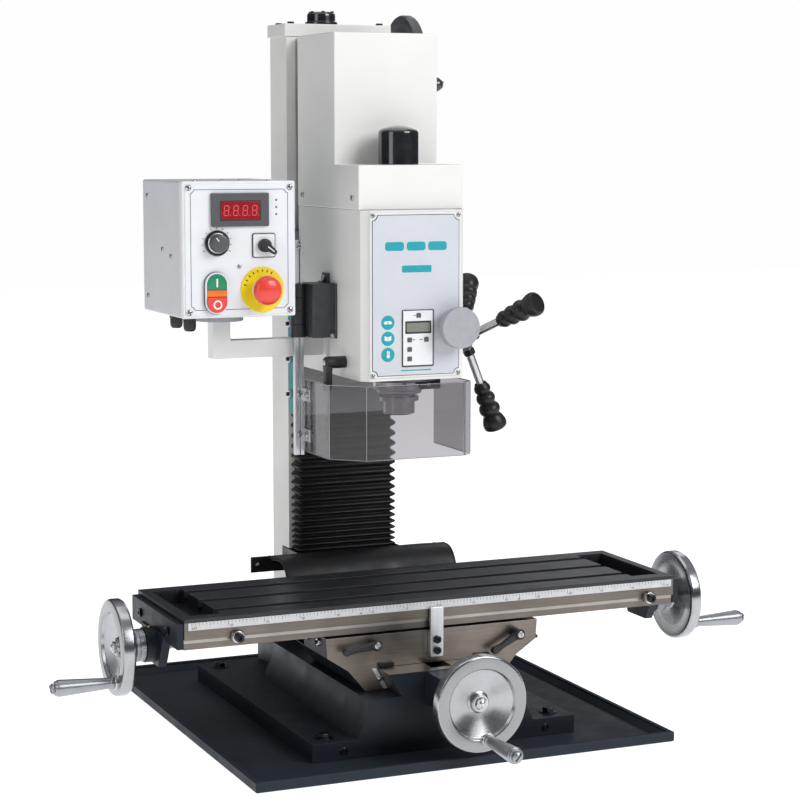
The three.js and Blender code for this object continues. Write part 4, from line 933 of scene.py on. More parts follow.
# ---- table ---------------------------------------------------------------------------------
def table():
    """Table with its engraved scale, stops, end brackets and pocket drains."""
    dress("table", "table", 0.9, 3)
    box = BOXES["table"]
    dress("scale_strip", "scale", 0.25, 2)
    strip = BOXES["scale_strip"]
    step = 5.0
    count = int((strip.x1 - strip.x0 - 8) / step)
    first = strip.x0 + 5
    downwards = Matrix.Rotation(math.pi / 2, 4, "Y") @ FORWARDS

    def place(i):
        return Matrix.Translation((first + step * i, strip.y0, strip.z1 - 0.6)) @ downwards

    def size(i):
        return (6.2 if i % 10 == 0 else 4.6 if i % 5 == 0 else 3.0, 0.45)

    finish(ticks("scale_ticks", count, place, size), "ink", "table")
    facing = FORWARDS.to_3x3()
    words = [(str(abs(10 * n - 70)), (first + 50 * n + 4.5, strip.y0, strip.z0 + 3), facing, 0)
             for n in range(count // 10 + 1)]
    numerals("scale_numbers", words, 4.6, "table")
    for n in range(4):
        x = strip.x0 + 6 + (strip.x1 - strip.x0 - 12) * n / 3
        slot_screw(f"scale_screw_{n}", (x, strip.y0, strip.z0 + 2.6), -Y, "table", 1.6, 0.7)
    for name, node in (("left", "table_stop_left"), ("right", "table_stop_right")):
        table_stop(name, node)
    end_bracket(-1, "left_bracket", box.x0)
    end_bracket(1, "right_bracket", box.x1)
    for n, x in enumerate((box.x0 + 35, box.x1 - 35)):
        drain = [(3.4, 0), (6.5, 0), (6.5, 0.8), (3.4, 0.8)]
        turned(f"pocket_drain_{n}", drain, (x, 40, 183.1), Z, "black_screw", "table", closed=True, bevel=0.2)


def table_stop(name, node):
    """T-nut in the ledge with a big cap screw and a chrome ring."""
    stop = BOXES[node]
    at = Vector((stop.x, stop.y1, stop.z))
    block = slab(f"stop_nut_{name}", (at.x - 9, at.y - 5, at.z - 6), (at.x + 9, at.y, at.z + 6), 0.8)
    finish(block, "iron", node, node)
    ring = [(5.2, 0), (8.2, 0), (8.2, 1.6), (7.6, 2.1), (5.2, 2.1)]
    turned(f"stop_ring_{name}", ring, at - 5 * Y, -Y, "bright", node, closed=True)
    socket_screw(f"stop_screw_{name}", at - 6.8 * Y, -Y, node, 6.2, 6.2, "black_screw", 3.4)


def end_bracket(side, node, edge):
    """Casting on the table's end that carries the feed screw, with its ring, screws and oiler."""
    dress(node, "slate", 1.6, 4)
    box = BOXES[node]
    pin = PIVOTS["x_screw_turn"]
    out = X * side
    tip = box.x0 if side < 0 else box.x1
    face = edge + 9 * side
    turned(f"{node}_ring", [(9.5, 0), (19, 0), (19, 0.8), (18, 1.3), (9.5, 1.3)],
           (tip - 1.2 * side, pin.y, pin.z), out, "screw", "table", closed=True)
    for n, y in enumerate((pin.y - 62, pin.y + 62)):
        socket_screw(f"{node}_screw_{n}", (face, y, 180), out, "table", 6.0, 3.2)
    ball_oiler(f"{node}_oiler", (edge + 17 * side, pin.y, pin.z + 23.4), Z, "table")


# ---- handwheels ----------------------------------------------------------------------------
GRIP_START = 22
GRIP_LENGTH = {"x_left": 80, "x_right": 80, "y": 80, "z": 58}


def wheel(name, body, node, out, material, radius):
    """Dished handwheel: polished rim and hollow face, cone in the middle, hexagon nut, and the crank pin."""
    axis = Vector(out)
    box = BOXES[node]
    low, high = Vector((box.x0, box.y0, box.z0)), Vector((box.x1, box.y1, box.z1))
    hub_end = low if sum(axis) > 0 else high
    pin = PIVOTS[name + "_grip_spin"]
    centre = PIVOTS[{"x": "x_screw_turn", "y": "y_screw_turn", "z": "z_shaft_turn"}[name[0]]]
    across = Vector((1, 1, 1)) - Vector(map(abs, axis))
    flat = Vector(c * k for c, k in zip(centre, across))
    origin = flat + Vector(abs(a) * h for a, h in zip(axis, hub_end)) + axis * 12
    rim = radius - 17
    width = 18
    profile = [(8.3, -12), (16, -12), (17, -11), (17.4, -4), (19, -1.5), (26, 0), (rim - 6, 2.4),
               (rim + 2, 1.2), (radius - 5, 0), (radius - 1.6, 0.9), (radius, 3.6), (radius, width - 4),
               (radius - 1.4, width - 1.2), (radius - 4, width), (rim + 1, width), (rim - 0.4, width - 0.7),
               (rim - 2.6, width - 4.4), (26, 6.6), (15, 5.0), (13.2, 6.0), (12.2, 10), (11.6, 10.6),
               (8.3, 10.6),]
    turned(name + "_wheel_disc", profile, origin, axis, material, body, node, closed=True)
    nut = prism(name + "_wheel_nut", hexagon(8.2), "z", 10.6, 15.4, 0.7, 2)
    finish(stand(nut, origin, axis, 0.3), "screw", body)
    dome = [(0, 18.0), (3, 17.7), (4.6, 16.8), (5, 15.6), (5, 10), (0, 10)]
    turned(name + "_wheel_stud", dome, origin, axis, "screw", body, sides=SMALL, bevel=0.2)
    washer = [(8.4, 10.5), (10.4, 10.5), (10.4, 11.9), (8.4, 11.9)]
    turned(name + "_wheel_washer", washer, origin, axis, "steel", body, sides=SMALL, bevel=0.3, closed=True)
    foot = Vector(p * k for p, k in zip(pin, across)) + Vector(abs(a) * o for a, o in zip(axis, origin))
    end = GRIP_START + GRIP_LENGTH[name]
    shaft = [(0, 12), (4, 12), (4, end + 4.6), (0, end + 4.6)]
    turned(name + "_pin", shaft, foot, axis, "steel", body, sides=SMALL, bevel=0.2)
    shoulder = [(4, 17.6), (9.4, 17.6), (9.4, 20.6), (8.6, 21.6), (4, 21.6)]
    turned(name + "_pin_shoulder", shoulder, foot, axis, "screw", body, sides=SMALL, bevel=0.3, closed=True)
    slot_screw(name + "_pin_screw", foot + axis * (end + 2.2), axis, body, 7.4, 3.2, "satin", 0.9, False)
    return foot


def grip(name, foot, out, material):
    """Turned handle: a straight taper from a collar at its neck to a full end with a small step."""
    axis = Vector(out)
    start, length = GRIP_START, GRIP_LENGTH[name]
    shape = [(0.0, 8.2), (0.02, 9.0), (0.055, 9.0), (0.075, 7.4), (0.12, 7.5), (0.88, 11.1), (0.92, 11.3),
             (0.95, 11.0), (0.955, 9.9), (0.99, 9.6), (1.0, 8.9)]
    profile = [(4.4, start)] + [(r, start + t * length) for t, r in shape] + [(4.4, start + length)]
    turned(name + "_grip_body", profile, foot, axis, material, name + "_grip", name + "_grip", sides=72,
           bevel=0.25, closed=True)


def dial(name, node, body, axis, length, count):
    """Satin dial with a knurled ring and black divisions."""
    box = BOXES[node]
    at = Vector((box.x, box.y, box.z)) - axis * length / 2
    wide = 22.0
    profile = [(8.3, 0.1), (wide - 0.8, 0.1), (wide, 0.9), (wide, length * 0.56), (wide - 0.7, length * 0.6),
               (wide - 0.7, length * 0.64), (wide, length * 0.68), (wide, length - 0.9),
               (wide - 0.8, length - 0.1), (8.3, length - 0.1)]
    turned(name + "_ring", profile, at, axis, "satin", body, node, bevel=0.15, closed=True)
    lean = Z.rotation_difference(axis).to_matrix().to_4x4()

    def place(i):
        return on_rim(at, lean, 2 * math.pi * i / count, wide, 1.0)

    def size(i):
        return (length * (0.34 if i % 10 == 0 else 0.26 if i % 5 == 0 else 0.18), 0.42)

    finish(ticks(name + "_ticks", count, place, size), "ink", body)
    teeth = 60

    def tooth(i):
        return on_rim(at, lean, 2 * math.pi * i / teeth, wide, length * 0.70)

    finish(ticks(name + "_knurl", teeth, tooth, lambda i: (length * 0.22, 1.1)), "satin", body)


def handwheels():
    parts = (("x_left", "x_drive", (-1, 0, 0), "wheel", "satin", 65),
             ("x_right", "x_drive", (1, 0, 0), "wheel", "satin", 65),
             ("y", "y_drive", (0, -1, 0), "wheel", "satin", 65),
             ("z", "z_drive", (1, 0, 0), "charcoal", "gloss_black", 62.5))
    for name, body, out, metal, handle, radius in parts:
        foot = wheel(name, body, name + "_wheel", out, metal, radius)
        grip(name, foot, out, handle)
    dial("dial_x_left", "x_dial_left", "x_dial_left", -X, 14, 40)
    dial("dial_x_right", "x_dial_right", "x_dial_right", X, 18, 40)
    dial("dial_y", "y_dial", "y_dial", -Y, 32, 40)


def feed_screws():
    """Feed screws with plain ends and trapezoidal threads between them."""
    x = BOXES["x_screw"]
    left, right = BOXES["table"].x0, BOXES["table"].x1
    pin = PIVOTS["x_screw_turn"]
    root, crest = 7.9, 9.0
    shaft = [(0, x.x0), (5.4, x.x0), (6, x.x0 + 0.8), (6, x.x0 + 6), (8, x.x0 + 6), (8, left - 21),
             (root, left - 21), (root, right + 21), (8, right + 21), (8, x.x1 - 6), (6, x.x1 - 6),
             (6, x.x1 - 0.8), (5.4, x.x1), (0, x.x1)]
    turned("x_screw_shaft", shaft, (0, pin.y, pin.z), X, "steel", "x_drive", "x_screw", sides=SMALL,
           bevel=0.2)
    lead = 4
    finish(thread("x_screw_thread", crest, lead, right - left + 34, (left - 17, pin.y, pin.z), X), "steel",
           "x_drive")
    y = BOXES["y_screw"]
    deep = y.y1 - y.y0
    pin = PIVOTS["y_screw_turn"]
    shaft = [(0, 0), (5.4, 0), (6, 0.8), (6, 6), (8, 6), (8, deep - 401), (root, deep - 401), (root, deep),
             (0, deep)]
    turned("y_screw_shaft", shaft, (pin.x, y.y0, pin.z), Y, "steel", "y_drive", "y_screw", sides=SMALL,
           bevel=0.2)
    finish(thread("y_screw_thread", crest, lead, 330, (pin.x, y.y1 - 4, pin.z), -Y), "steel", "y_drive")
    z = BOXES["z_screw"]
    tall = z.z1 - z.z0
    gear = PIVOTS["z_shaft_turn"].z - 17 - z.z0
    shaft = [(0, 0), (9.8, 0), (9.8, gear - 14), (16, gear - 14), (16, gear - 8), (8, gear), (8, tall),
             (0, tall)]
    turned("z_screw_shaft", shaft, (z.x, z.y, z.z0), Z, "steel", "z_screw", "z_screw", sides=SMALL, bevel=0.2)
    finish(thread("z_screw_thread", 11, lead, gear - 24, (z.x, z.y, z.z0 + 4), Z), "steel", "z_screw")
    s = BOXES["z_shaft"]
    pin = PIVOTS["z_shaft_turn"]
    long = s.x1 - s.x0
    shaft = [(0, 0), (8, 0), (16, 8), (16, 14), (8, 14), (8, long - 6), (6, long - 6), (6, long), (0, long)]
    turned("z_shaft_body", shaft, (s.x0, pin.y, pin.z), X, "steel", "z_drive", "z_shaft", sides=SMALL,
           bevel=0.2)


# ---- head ----------------------------------------------------------------------------------
CARRIAGE_BACK = 222.0


def head():
    """Carriage, casting, cover and motor, with the seam, screws, bore ring and nuts."""
    dress("z_carriage", "teal", 1.8, 4)
    dress("head_casting", "white", 2.0, 4)
    dress("head_cover", "white_sheet", 2.2, 4)
    dress("drive_motor", "charcoal", 1.2, 3)
    cover = BOXES["head_cover"]
    for side in (-1, 1):
        for n, y in enumerate((cover.y0 + 22, cover.y1 - 20)):
            slot_screw(f"cover_side_screw_{side + 2}_{n}", (side * cover.x1, y, cover.z0 + 16), X * side,
                       "head", 4.4, 2.2)
    seam = [(cover.x0 + 1.6, cover.y0 + 1.6), (cover.x1 - 1.6, cover.y0 + 1.6),
            (cover.x1 - 1.6, cover.y1 - 1.6), (cover.x0 + 1.6, cover.y1 - 1.6)]
    finish(prism("cover_seam", seam, "z", cover.z0 - 2.2, cover.z0 + 2.0, 0.3), "black", "head")
    casting = BOXES["head_casting"]
    ring = [(38.3, 0), (57, 0), (57, 3.0), (55.5, 4.4), (40.0, 4.4), (38.3, 3.4)]
    turned("quill_bore_ring", ring, (0, 0, casting.z0 + 0.4), -Z, "charcoal", "head", closed=True)
    for n in range(3):
        a = math.radians(40 + 120 * n)
        socket_screw(f"bore_ring_screw_{n}", (48 * math.cos(a), 48 * math.sin(a), casting.z0 - 4.0), -Z,
                     "head", 3.4, 2.6)
    carriage = BOXES["z_carriage"]
    for n in range(5):
        z = carriage.z0 + 30 + n * 52
        nut = prism(f"carriage_nut_{n}", hexagon(6), "z", 0, 4.4, 0.5, 2)
        finish(stand(nut, (carriage.x0, CARRIAGE_BACK - 14, z), -X), "screw", "carriage")
        turned(f"carriage_stud_{n}", [(0, 0), (3, 0), (3, 7.4), (2.5, 8), (0, 8)],
               (carriage.x0, CARRIAGE_BACK - 14, z), -X, "black_screw", "carriage")
    for n in range(2):
        nut = prism(f"tilt_nut_{n}", hexagon(9), "z", 0, 8, 0.7, 2)
        finish(stand(nut, (0, carriage.y0 - 10.2, carriage.z0 + 190 + (-52, 52)[n])), "black_screw", "head")


def front_panel():
    """Silver-grey panel with a dark outline, notches for its screws, a small display and plain marks."""
    box = BOXES["front_panel"]
    casting = BOXES["head_casting"]
    face = casting.y0
    half, z0, z1 = box.x1, box.z0, box.z1
    back = slab("panel_frame", (-half - 1.6, face - 2.6, z0 - 1.6), (half + 1.6, face - 0.1, z1 + 1.6), 0.9)
    finish(back, "white_sheet", "head", "front_panel")

    outer, inner = (notched(0, (z0 + z1) / 2, 2 * (half - inset), z1 - z0 - 2 * inset, 7.6)
                    for inset in (1.0, 1.8))
    plate("panel_outline", outer, face, 2.2, 3.0, "ink", "head")
    plate("panel_face", inner, face, 2.2, 3.3, "panel", "head", bevel=0.15, segments=2)
    for n, (x, z) in enumerate((sx * (half - 2.2), z) for sx in (-1, 1) for z in (z0 + 2.2, z1 - 2.2)):
        slot_screw(f"panel_screw_{n}", (x, face - 2.5, z), -Y, "head", 3.5, 1.8, turn=0.5 + n)
    top = z1 - 44
    prints = [(f"panel_bar_{n}", rounded(28, 12, 4, 32 * (n - 1), top)) for n in range(3)]
    prints.append(("panel_underline", rounded(44, 9.5, 1.6, 1, top - 31)))
    prints.append(("panel_foot_line", rounded(46, 1.6, 0.7, 0, z0 + 8)))
    for name, outline in prints:
        plate(name, outline, face, 3.2, 3.42, "teal_print", "head")
    readout(face - 3.3)
    for n, z in enumerate((z0 + 74.5, z0 + 52.5, z0 + 30.5)):
        at = (-42, face - 3.2, z)
        disc = [(0, 0.3), (9.8, 0.3), (9.8, 0), (0, 0)]
        turned(f"panel_disc_{n}", disc, at, -Y, "teal_print", "head", sides=48, bevel=0)
        finish(panel_mark(n, at), "mark", "head")


def panel_mark(n, at):
    """White sign on a teal disc: safety glasses, an open book or a glove, each as a plain flat shape."""
    x, face, z = at
    y0, y1 = face - 0.42, face - 0.28
    if n == 0:
        shapes = [rounded(5.4, 3.6, 1.7, x + 3.2 * side, z - 0.5) for side in (-1, 1)]
        shapes.append(rounded(9, 1.1, 0.4, x, z + 1.6))
    elif n == 1:
        page = ((0.4, -3.6), (0.4, 2.2), (5, 3.8), (5, -2))
        shapes = [[(x + side * a, z + b) for a, b in page] for side in (-1, 1)]
    else:
        fingers = ((4.6, 6.0, 2.0, 0.6, -1.6), (1.7, 6, 0.8, -0.6, 2.6), (1.7, 5, 0.8, 1.8, 2.4))
        shapes = [rounded(wide, tall, radius, x + a, z + b) for wide, tall, radius, a, b in fingers]
    return join(f"panel_mark_{n}", [prism(f"mark_{n}_{k}", shape, "y", y0, y1, 0) for k,
                                    shape in enumerate(shapes)])


def readout(face):
    """Depth readout: a plate with a window and five keys, and three plain marks."""
    left, right, low, high = -21.0, 26.0, 513.0, 591.0
    x, z, wide, tall = (left + right) / 2, (low + high) / 2, right - left, high - low
    for name, outline, back, front, material, bevel in (
        ("readout_rim", rounded(wide, tall, 1.2, x, z), -0.2, 1.6, "ink", 0.4),
        ("readout_plate", rounded(wide - 3, tall - 3, 0.8, x - 0.4, z + 0.4), 1.4, 1.95, "panel_edge", 0.15),
        ("readout_window_rim", rounded(39, 17.4, 1, x, high - 24), 1.9, 2.2, "ink", 0.1),
        ("readout_window", rounded(35, 12.4, 0.8, x, high - 24), 2.1, 2.4, "lcd", 0.1),
    ):
        plate(name, outline, face, back, front, material, "head", bevel=bevel, segments=2)
    for n, (u, v) in enumerate(((0.5, -7.6), (-13, -41), (12, -41), (-13, -54), (-13, -67))):
        plate(f"readout_key_{n}", rounded(6.8, 6.6, 1, x + u, high + v), face, 1.8, 2.9, "charcoal", "head",
              bevel=0.5)
    lines = [rounded(4.6, 0.9, 0.3, x + 18.5 - 25, high - 41), rounded(4.6, 0.9, 0.3, x + 4.0, high - 41),
             rounded(3.2, 0.9, 0.3, x - 5.6, high - 7.6)]
    marks = [prism("readout_mark", shape, "y", face - 2.02, face - 1.9, 0) for shape in lines]
    finish(join("readout_marks", marks), "ink", "head")


def drive():
    """Drawbar cap, two grooved pulleys and their belt."""
    cap = BOXES["drawbar_cap"]
    tall = cap.z1 - cap.z0
    profile = [(25, 0), (28, 0), (28, tall - 11), (27.4, tall - 8.4), (25.8, tall - 6.2), (20, tall - 3.6),
               (10, tall - 1.0), (0, tall), (0, tall - 4), (18, tall - 8), (25, tall - 16)]
    turned("drawbar_cap_shell", profile, (0, 0, cap.z0), Z, "gloss_black", "drawbar_cap", "drawbar_cap",
           sides=144, bevel=0.3)
    for node, body, inner in (("motor_pulley", "motor_pulley", 0.0),
                              ("spindle_pulley", "spindle_pulley", 13.3)):
        box = BOXES[node]
        radius = box.x1
        low, high = 735 - box.z0, 760 - box.z0
        grooves = []
        for k in range(5):
            z = low + 3 + (high - low - 6) * k / 4
            grooves += [(radius - 0.4, z - 1.6), (radius - 3.0, z), (radius - 0.4, z + 1.6)]
        hub = 7 if inner == 0 else 26
        if inner:
            shape = [(inner, 0), (hub, 0), (hub, low), (radius, low)] + grooves
            shape += [(radius, high), (inner, high)]
        else:
            shape = [(0, 0), (radius, 0)] + grooves
            shape += [(radius, high), (hub, high), (hub, box.z1 - box.z0), (0, box.z1 - box.z0)]
        turned(node + "_disc", shape, (0, box.y, box.z0), Z, "satin", body, node, bevel=0, closed=bool(inner))
    drive_belt()


def drive_belt():
    """Flat loop round both pulleys, open on its straight runs."""
    motor_y = BOXES["motor_pulley"].y
    big, small, inward = 38.6, 20.6, 0.94
    z0, z1 = 739.5, 755.5
    lean = math.acos((big - small) / motor_y)
    outer = arc(big, math.pi / 2 + lean, math.pi * 5 / 2 - lean, 30)
    outer += arc(small, math.pi / 2 - lean, math.pi / 2 + lean, 20, 0, motor_y)
    inner = [(x * inward, y if y > motor_y else y * inward) for x, y in outer]
    points = [(x, y, z) for loop in (outer, inner) for z in (z0, z1) for x, y in loop]
    n = len(outer)
    faces = []
    for i in range(n):
        j = (i + 1) % n
        faces += [(i, j, n + j, n + i), (2 * n + j, 2 * n + i, 3 * n + i, 3 * n + j),
                  (n + i, n + j, 3 * n + j, 3 * n + i), (j, i, 2 * n + i, 2 * n + j)]
    belt = make("drive_belt", points, faces)
    tidy_normals(belt)
    finish(soften(belt, 0, 1), "belt", "head")


def spindle():
    """Quill sleeve with its depth arm and rod, and the spindle in it."""
    bottom, flange = 470.0, 491.0
    profile = [(22.8, 470), (29.5, 470), (32, 471.4), (32, 476), (36.2, 476), (37, 477), (37, 489.6),
               (36, flange), (32, flange), (32, 640), (22.8, 640)]
    shape = [(r, z - bottom) for r, z in profile]
    turned("quill_sleeve", shape, (0, 0, bottom), Z, "steel", "quill", "quill", bevel=0.3, closed=True)
    arm = slab("depth_arm", (20, -36, flange - 13.4), (49, 6, flange + 0.4), 2.0, 4)
    finish(arm, "black", "quill")
    turned("depth_rod", [(0, 0), (4, 0), (4, 111), (3.4, 112), (0, 112)], (40, -28, flange - 3), Z, "steel",
           "quill", sides=SMALL, bevel=0.2)
    slot_screw("depth_arm_screw", (30, -36, flange - 6.5), -Y, "quill", 3.6, 1.8)
    socket_screw("quill_clamp_screw", (-6, -36.4, flange - 7.5), -Y, "quill", 3.8, 2.2, "screw")
    nose = BOXES["spindle"]
    low = nose.z0
    profile = [(12, 0), (20.6, 0), (22.5, 1.6), (22.5, 18.4), (21.6, 19.2), (28, 19.2), (28, 25), (22.5, 25),
               (22.5, 199), (13, 199), (13, 339), (9, 339), (9, nose.z1 - low), (0, nose.z1 - low),
               (0, nose.z1 - low - 6), (6, nose.z1 - low - 6), (6, 84), (9, 80)]
    turned("spindle_body", profile, (0, 0, low), Z, "steel", "spindle", "spindle", bevel=0.3)
    turned("spindle_rim", [(12, 0), (15, 0), (15, 0.5), (12, 0.5)], (0, 0, low - 0.3), Z, "black_screw",
           "spindle", bevel=0.1, closed=True)


def capstan():
    """Hub with three leaning rods; each grip has four bulges that grow towards its end."""
    hub = PIVOTS["capstan_turn"]
    node = BOXES["capstan_hub"]
    shaft_start, head_side = -16, 77.3
    face = head_side - shaft_start
    body = [(0, 0), (11.7, 0), (11.7, face), (25, face), (25, face + 7.4), (23, face + 10),
            (19.4, face + 11.6), (19, face + 14), (19, 138), (17.6, 141), (15, 145.4), (12, 146), (6, 146),
            (5, 144.5), (0, 144.5)]
    turned("capstan_boss", body, (shaft_start, hub.y, hub.z), X, "charcoal", "capstan", "capstan_hub")
    origin = Vector((min(node.x1, 130.0) - 8, hub.y, hub.z))
    lean = math.radians(23)
    for n in range(3):
        phase = math.radians(34 + 120 * n)
        along = Vector((math.sin(lean), math.cos(lean) * math.cos(phase), math.cos(lean) * math.sin(phase)))
        rod = [(0, 0), (6, 0), (6, 70), (5.2, 72), (5.2, 132), (0, 132)]
        turned(f"capstan_rod_{n + 1}", rod, origin, along, "steel", "capstan", sides=SMALL, bevel=0.2)
        collar = [(6, 17), (9.4, 17), (9.4, 24), (8.4, 25.5), (6, 25.5)]
        turned(f"capstan_collar_{n + 1}", collar, origin, along, "black_screw", "capstan", sides=6,
               closed=True)
        profile = [(6.1, 72), (9.0, 72), (9.4, 74)]
        bumps = ((74, 88, 9.2, 12.2), (88, 105, 10.0, 14.0), (105, 123, 11.4, 15.6))
        for start, end, low, high in bumps:
            profile += [(low + (high - low) * math.sin(math.pi * t) ** 0.8, start + (end - start) * t)
                        for t in (0.12, 0.26, 0.4, 0.55, 0.7, 0.84)]
            profile.append((low, end))
        profile += [(12.6, 124), (15.0, 128), (17.0, 134), (17.5, 139), (16.6, 143), (14, 145.2), (0, 145.6),
                    (0, 133), (6.1, 133)]
        turned(f"capstan_handle_{n + 1}", profile, origin, along, "grip", "capstan", f"capstan_grip_{n + 1}",
               sides=80, bevel=0.2)


def feed_knob():
    """Grey fine feed knob on the head's front, with its collar."""
    box = BOXES["feed_knob"]
    pin = PIVOTS["fine_feed_turn"]
    deep = box.y1 - box.y0
    profile = [(0, 1.8), (20, 1.5), (25.2, 0.5), (26.6, 0), (28.2, 0.8), (28.5, 2.4), (28.5, 12.4),
               (27.6, 13.8), (11, 14), (11, 22), (6, 23), (6, deep - 34), (9.5, deep - 30), (9.5, deep),
               (0, deep)]
    turned("feed_knob_disc", profile, (pin.x, box.y0, pin.z), Y, "grey_knob", "feed_knob", "feed_knob",
           sides=144, bevel=0.3)
    collar = [(11.4, 0), (15, 0), (15, 4.6), (14, 5.6), (11.4, 5.6)]
    turned("feed_collar", collar, (pin.x, BOXES["head_casting"].y0 - 3.2, pin.z), -Y, "charcoal", "head",
           closed=True)


def quill_lock():
    """Black lever on the head's left side that clamps the quill."""
    pin = PIVOTS["quill_lock_swing"]
    hub = [(0, 0), (8.4, 0), (8.4, 26), (7.6, 29), (6, 30.4), (0, 30.4)]
    turned("quill_lock_hub", hub, (-77.6, pin.y, pin.z), -X, "black", "quill_lock", "quill_lock", sides=64,
           bevel=0.4)
    shaft = [(0, 0), (5, 0), (5, 45), (0, 45)]
    turned("quill_lock_shaft", shaft, (-33, pin.y, pin.z), -X, "steel", "quill_lock", sides=SMALL, bevel=0.2)
    outline = [(6.8, 5), (7.4, -2), (5.0, -16), (5.4, -34), (3.2, -38.6), (-1.6, -39.4), (-5.4, -36),
               (-5.0, -16), (-7.2, -2), (-5.6, 6), (0, 8.4)]
    arm = prism("quill_lock_arm", [(pin.y + a, pin.z + b) for a, b in outline], "x", -108, -97.6, 1.8, 4)
    finish(arm, "black", "quill_lock")
    socket_screw("quill_lock_screw", (-107.8, pin.y, pin.z), -X, "quill_lock", 4.2, 1.2, "screw", 0.9)


# ---- guard ---------------------------------------------------------------------------------
def guard():
    """Switch box, hinge, rail, and the bent clear sheet with painted highlight lines on its bends and rims
    (the rims partly polished edge), clamps and bolts.
    """
    bracket = BOXES["guard_bracket"]
    dress("guard_bracket", "grey_black", 1.6, 4)
    lid = slab("switch_box_lid", (bracket.x0 + 5, bracket.y0 + 13, bracket.z0 + 6),
               (bracket.x1 - 8, bracket.y0 + 8.6 + 3, bracket.z1 - 20), 0.6)
    finish(lid, "grey_black", "head")
    for n, z in enumerate((bracket.z1 - 7.4, bracket.z0 + 4)):
        socket_screw(f"bracket_screw_{n}", (bracket.x1 - 3.2, 76 if n == 0 else 42, z), -X, "head", 4.6, 4.0,
                     "screw", 1.5)
    pin = PIVOTS["guard_swing"]
    barrel = BOXES["hinge_barrel"]
    tall = barrel.z1 - barrel.z0
    profile = [(7.9, 0), (11, 0)]
    for k in range(1, 4):
        z = tall * k / 4
        profile += [(11, z - 0.7), (10.1, z - 0.35), (10.1, z + 0.35), (11, z + 0.7)]
    profile += [(11, tall), (7.9, tall)]
    turned("hinge_knuckles", profile, (pin.x, pin.y, barrel.z0), Z, "black", "guard_hinge", "hinge_barrel",
           sides=64, bevel=0.2, closed=True)
    rail = BOXES["guard_rail"]
    w, d = (rail.x1 - rail.x0) / 2, (rail.y1 - rail.y0) / 2
    shape = [(-w, -d), (-1.8, -d), (-1.8, -d + 1.6), (-3.4, -d + 1.6), (-3.4, -d + 3), (3.4, -d + 3),
             (3.4, -d + 1.6), (1.8, -d + 1.6), (1.8, -d), (w, -d), (w, d), (-w, d)]
    outline = [(rail.x + a, rail.y + b) for a, b in shape]
    finish(prism("guard_rail_bar", outline, "z", rail.z0, rail.z1, 0.4, 2), "rail", "guard", "guard_rail")
    slot_screw("rail_top_screw", (rail.x, rail.y0 + 0.2, rail.z1 - 9), -Y, "guard", 3.8, 2.0)
    panel = BOXES["guard_panel"]
    thick, bend = 3.0, 3.0
    left, right, front, back = panel.x0, panel.x1, panel.y0, panel.y1
    path = [(left, back), (left, -19.0), (left + 40.5, front), (right - 15.0, front), (right, -45.0),
            (right, back)]
    outer = fillet(path, bend)
    inner = offset(outer, thick)
    sheet = prism("guard_sheet", outer + inner[::-1], "z", panel.z0, panel.z1, 0.35, 2, 50)
    finish(sheet, "smoke", "guard", "guard_panel")
    # Lighter lines at the four bends are painted highlights; those along the top and bottom rims are partly
    # polished edge and partly painted highlight.
    bends = [(left, -19.0), (left + 40.5, front), (right - 15.0, front), (right, -45.0)]
    lines = [tube("guard_edge_and_highlight_line", [(x, y, panel.z0 + 1), (x, y, panel.z1 - 1)], 0.45) for x, y in bends]
    for z in (panel.z0 + 0.4, panel.z1 - 0.4):
        lines.append(tube("guard_edge_and_highlight_line", [(x, y, z) for x, y in outer], 0.5))
    finish(join("guard_edges_and_bend_highlights", lines), "edge_and_bend_highlight", "guard")
    for n, (y, z) in enumerate((y, z) for y in (rail.y0 - 13, rail.y1 + 13)
                               for z in (panel.z0 + 24, panel.z1 - 22)):
        clamp = [(5, 0), (6.4, 0), (6.4, 1.2), (5.8, 1.8), (2.6, 1.8), (2.6, 0)]
        at = (panel.x0 - 0.1, y, z)
        turned(f"guard_washer_{n}", clamp, at, -X, "screw", "guard", sides=SMALL, bevel=0.2, closed=True)
        socket_screw(f"guard_bolt_{n}", (at[0] - 1.6, y, z), -X, "guard", 3.8, 3.2, "screw", 1.7)
    for n, z in enumerate((panel.z0 + 24, panel.z1 - 22)):
        plate = slab(f"guard_clamp_{n}", (panel.x0 - 2.2, rail.y0 - 21, z - 9),
                     (panel.x0 - 0.1, rail.y1 + 21, z + 9), 0.5)
        finish(plate, "rail", "guard")
        slot_screw(f"rail_bolt_{n}", (rail.x, rail.y0 - 0.1, z), -Y, "guard", 4.2, 2.2)


def fillet(path, radius, steps=6):
    """Rounds the inner corners of an open path."""
    points = [path[0]]
    for before, corner, after in zip(path, path[1:], path[2:]):
        c = Vector(corner)
        a, b = (Vector(before) - c).normalized(), (Vector(after) - c).normalized()
        start, end = c + a * radius, c + b * radius
        for k in range(steps + 1):
            t = k / steps
            points.append(tuple(start * (1 - t) ** 2 + c * 2 * t * (1 - t) + end * t ** 2))
    return points + [path[-1]]


def offset(path, by):
    """An open path moved sideways, to its left."""
    moved = []
    for k, p in enumerate(path):
        a = Vector(path[max(k - 1, 0)])
        b = Vector(path[min(k + 1, len(path) - 1)])
        along = (b - a).normalized()
        moved.append((p[0] - along.y * by, p[1] + along.x * by))
    return moved


# ---- control box ---------------------------------------------------------------------------
BOX_HALF = 80.5
BOX_DEEP = 91.5
BOX_LOW = 583.0
BOX_HIGH = 767.0


def on_box(x, z, out=0.0):
    """A place on the front of the control box: x from its middle, z up, and how far it stands out."""
    swivel = PIVOTS["control_box_swivel"]
    return Vector((swivel.x + x, swivel.y - BOX_DEEP - out, z))


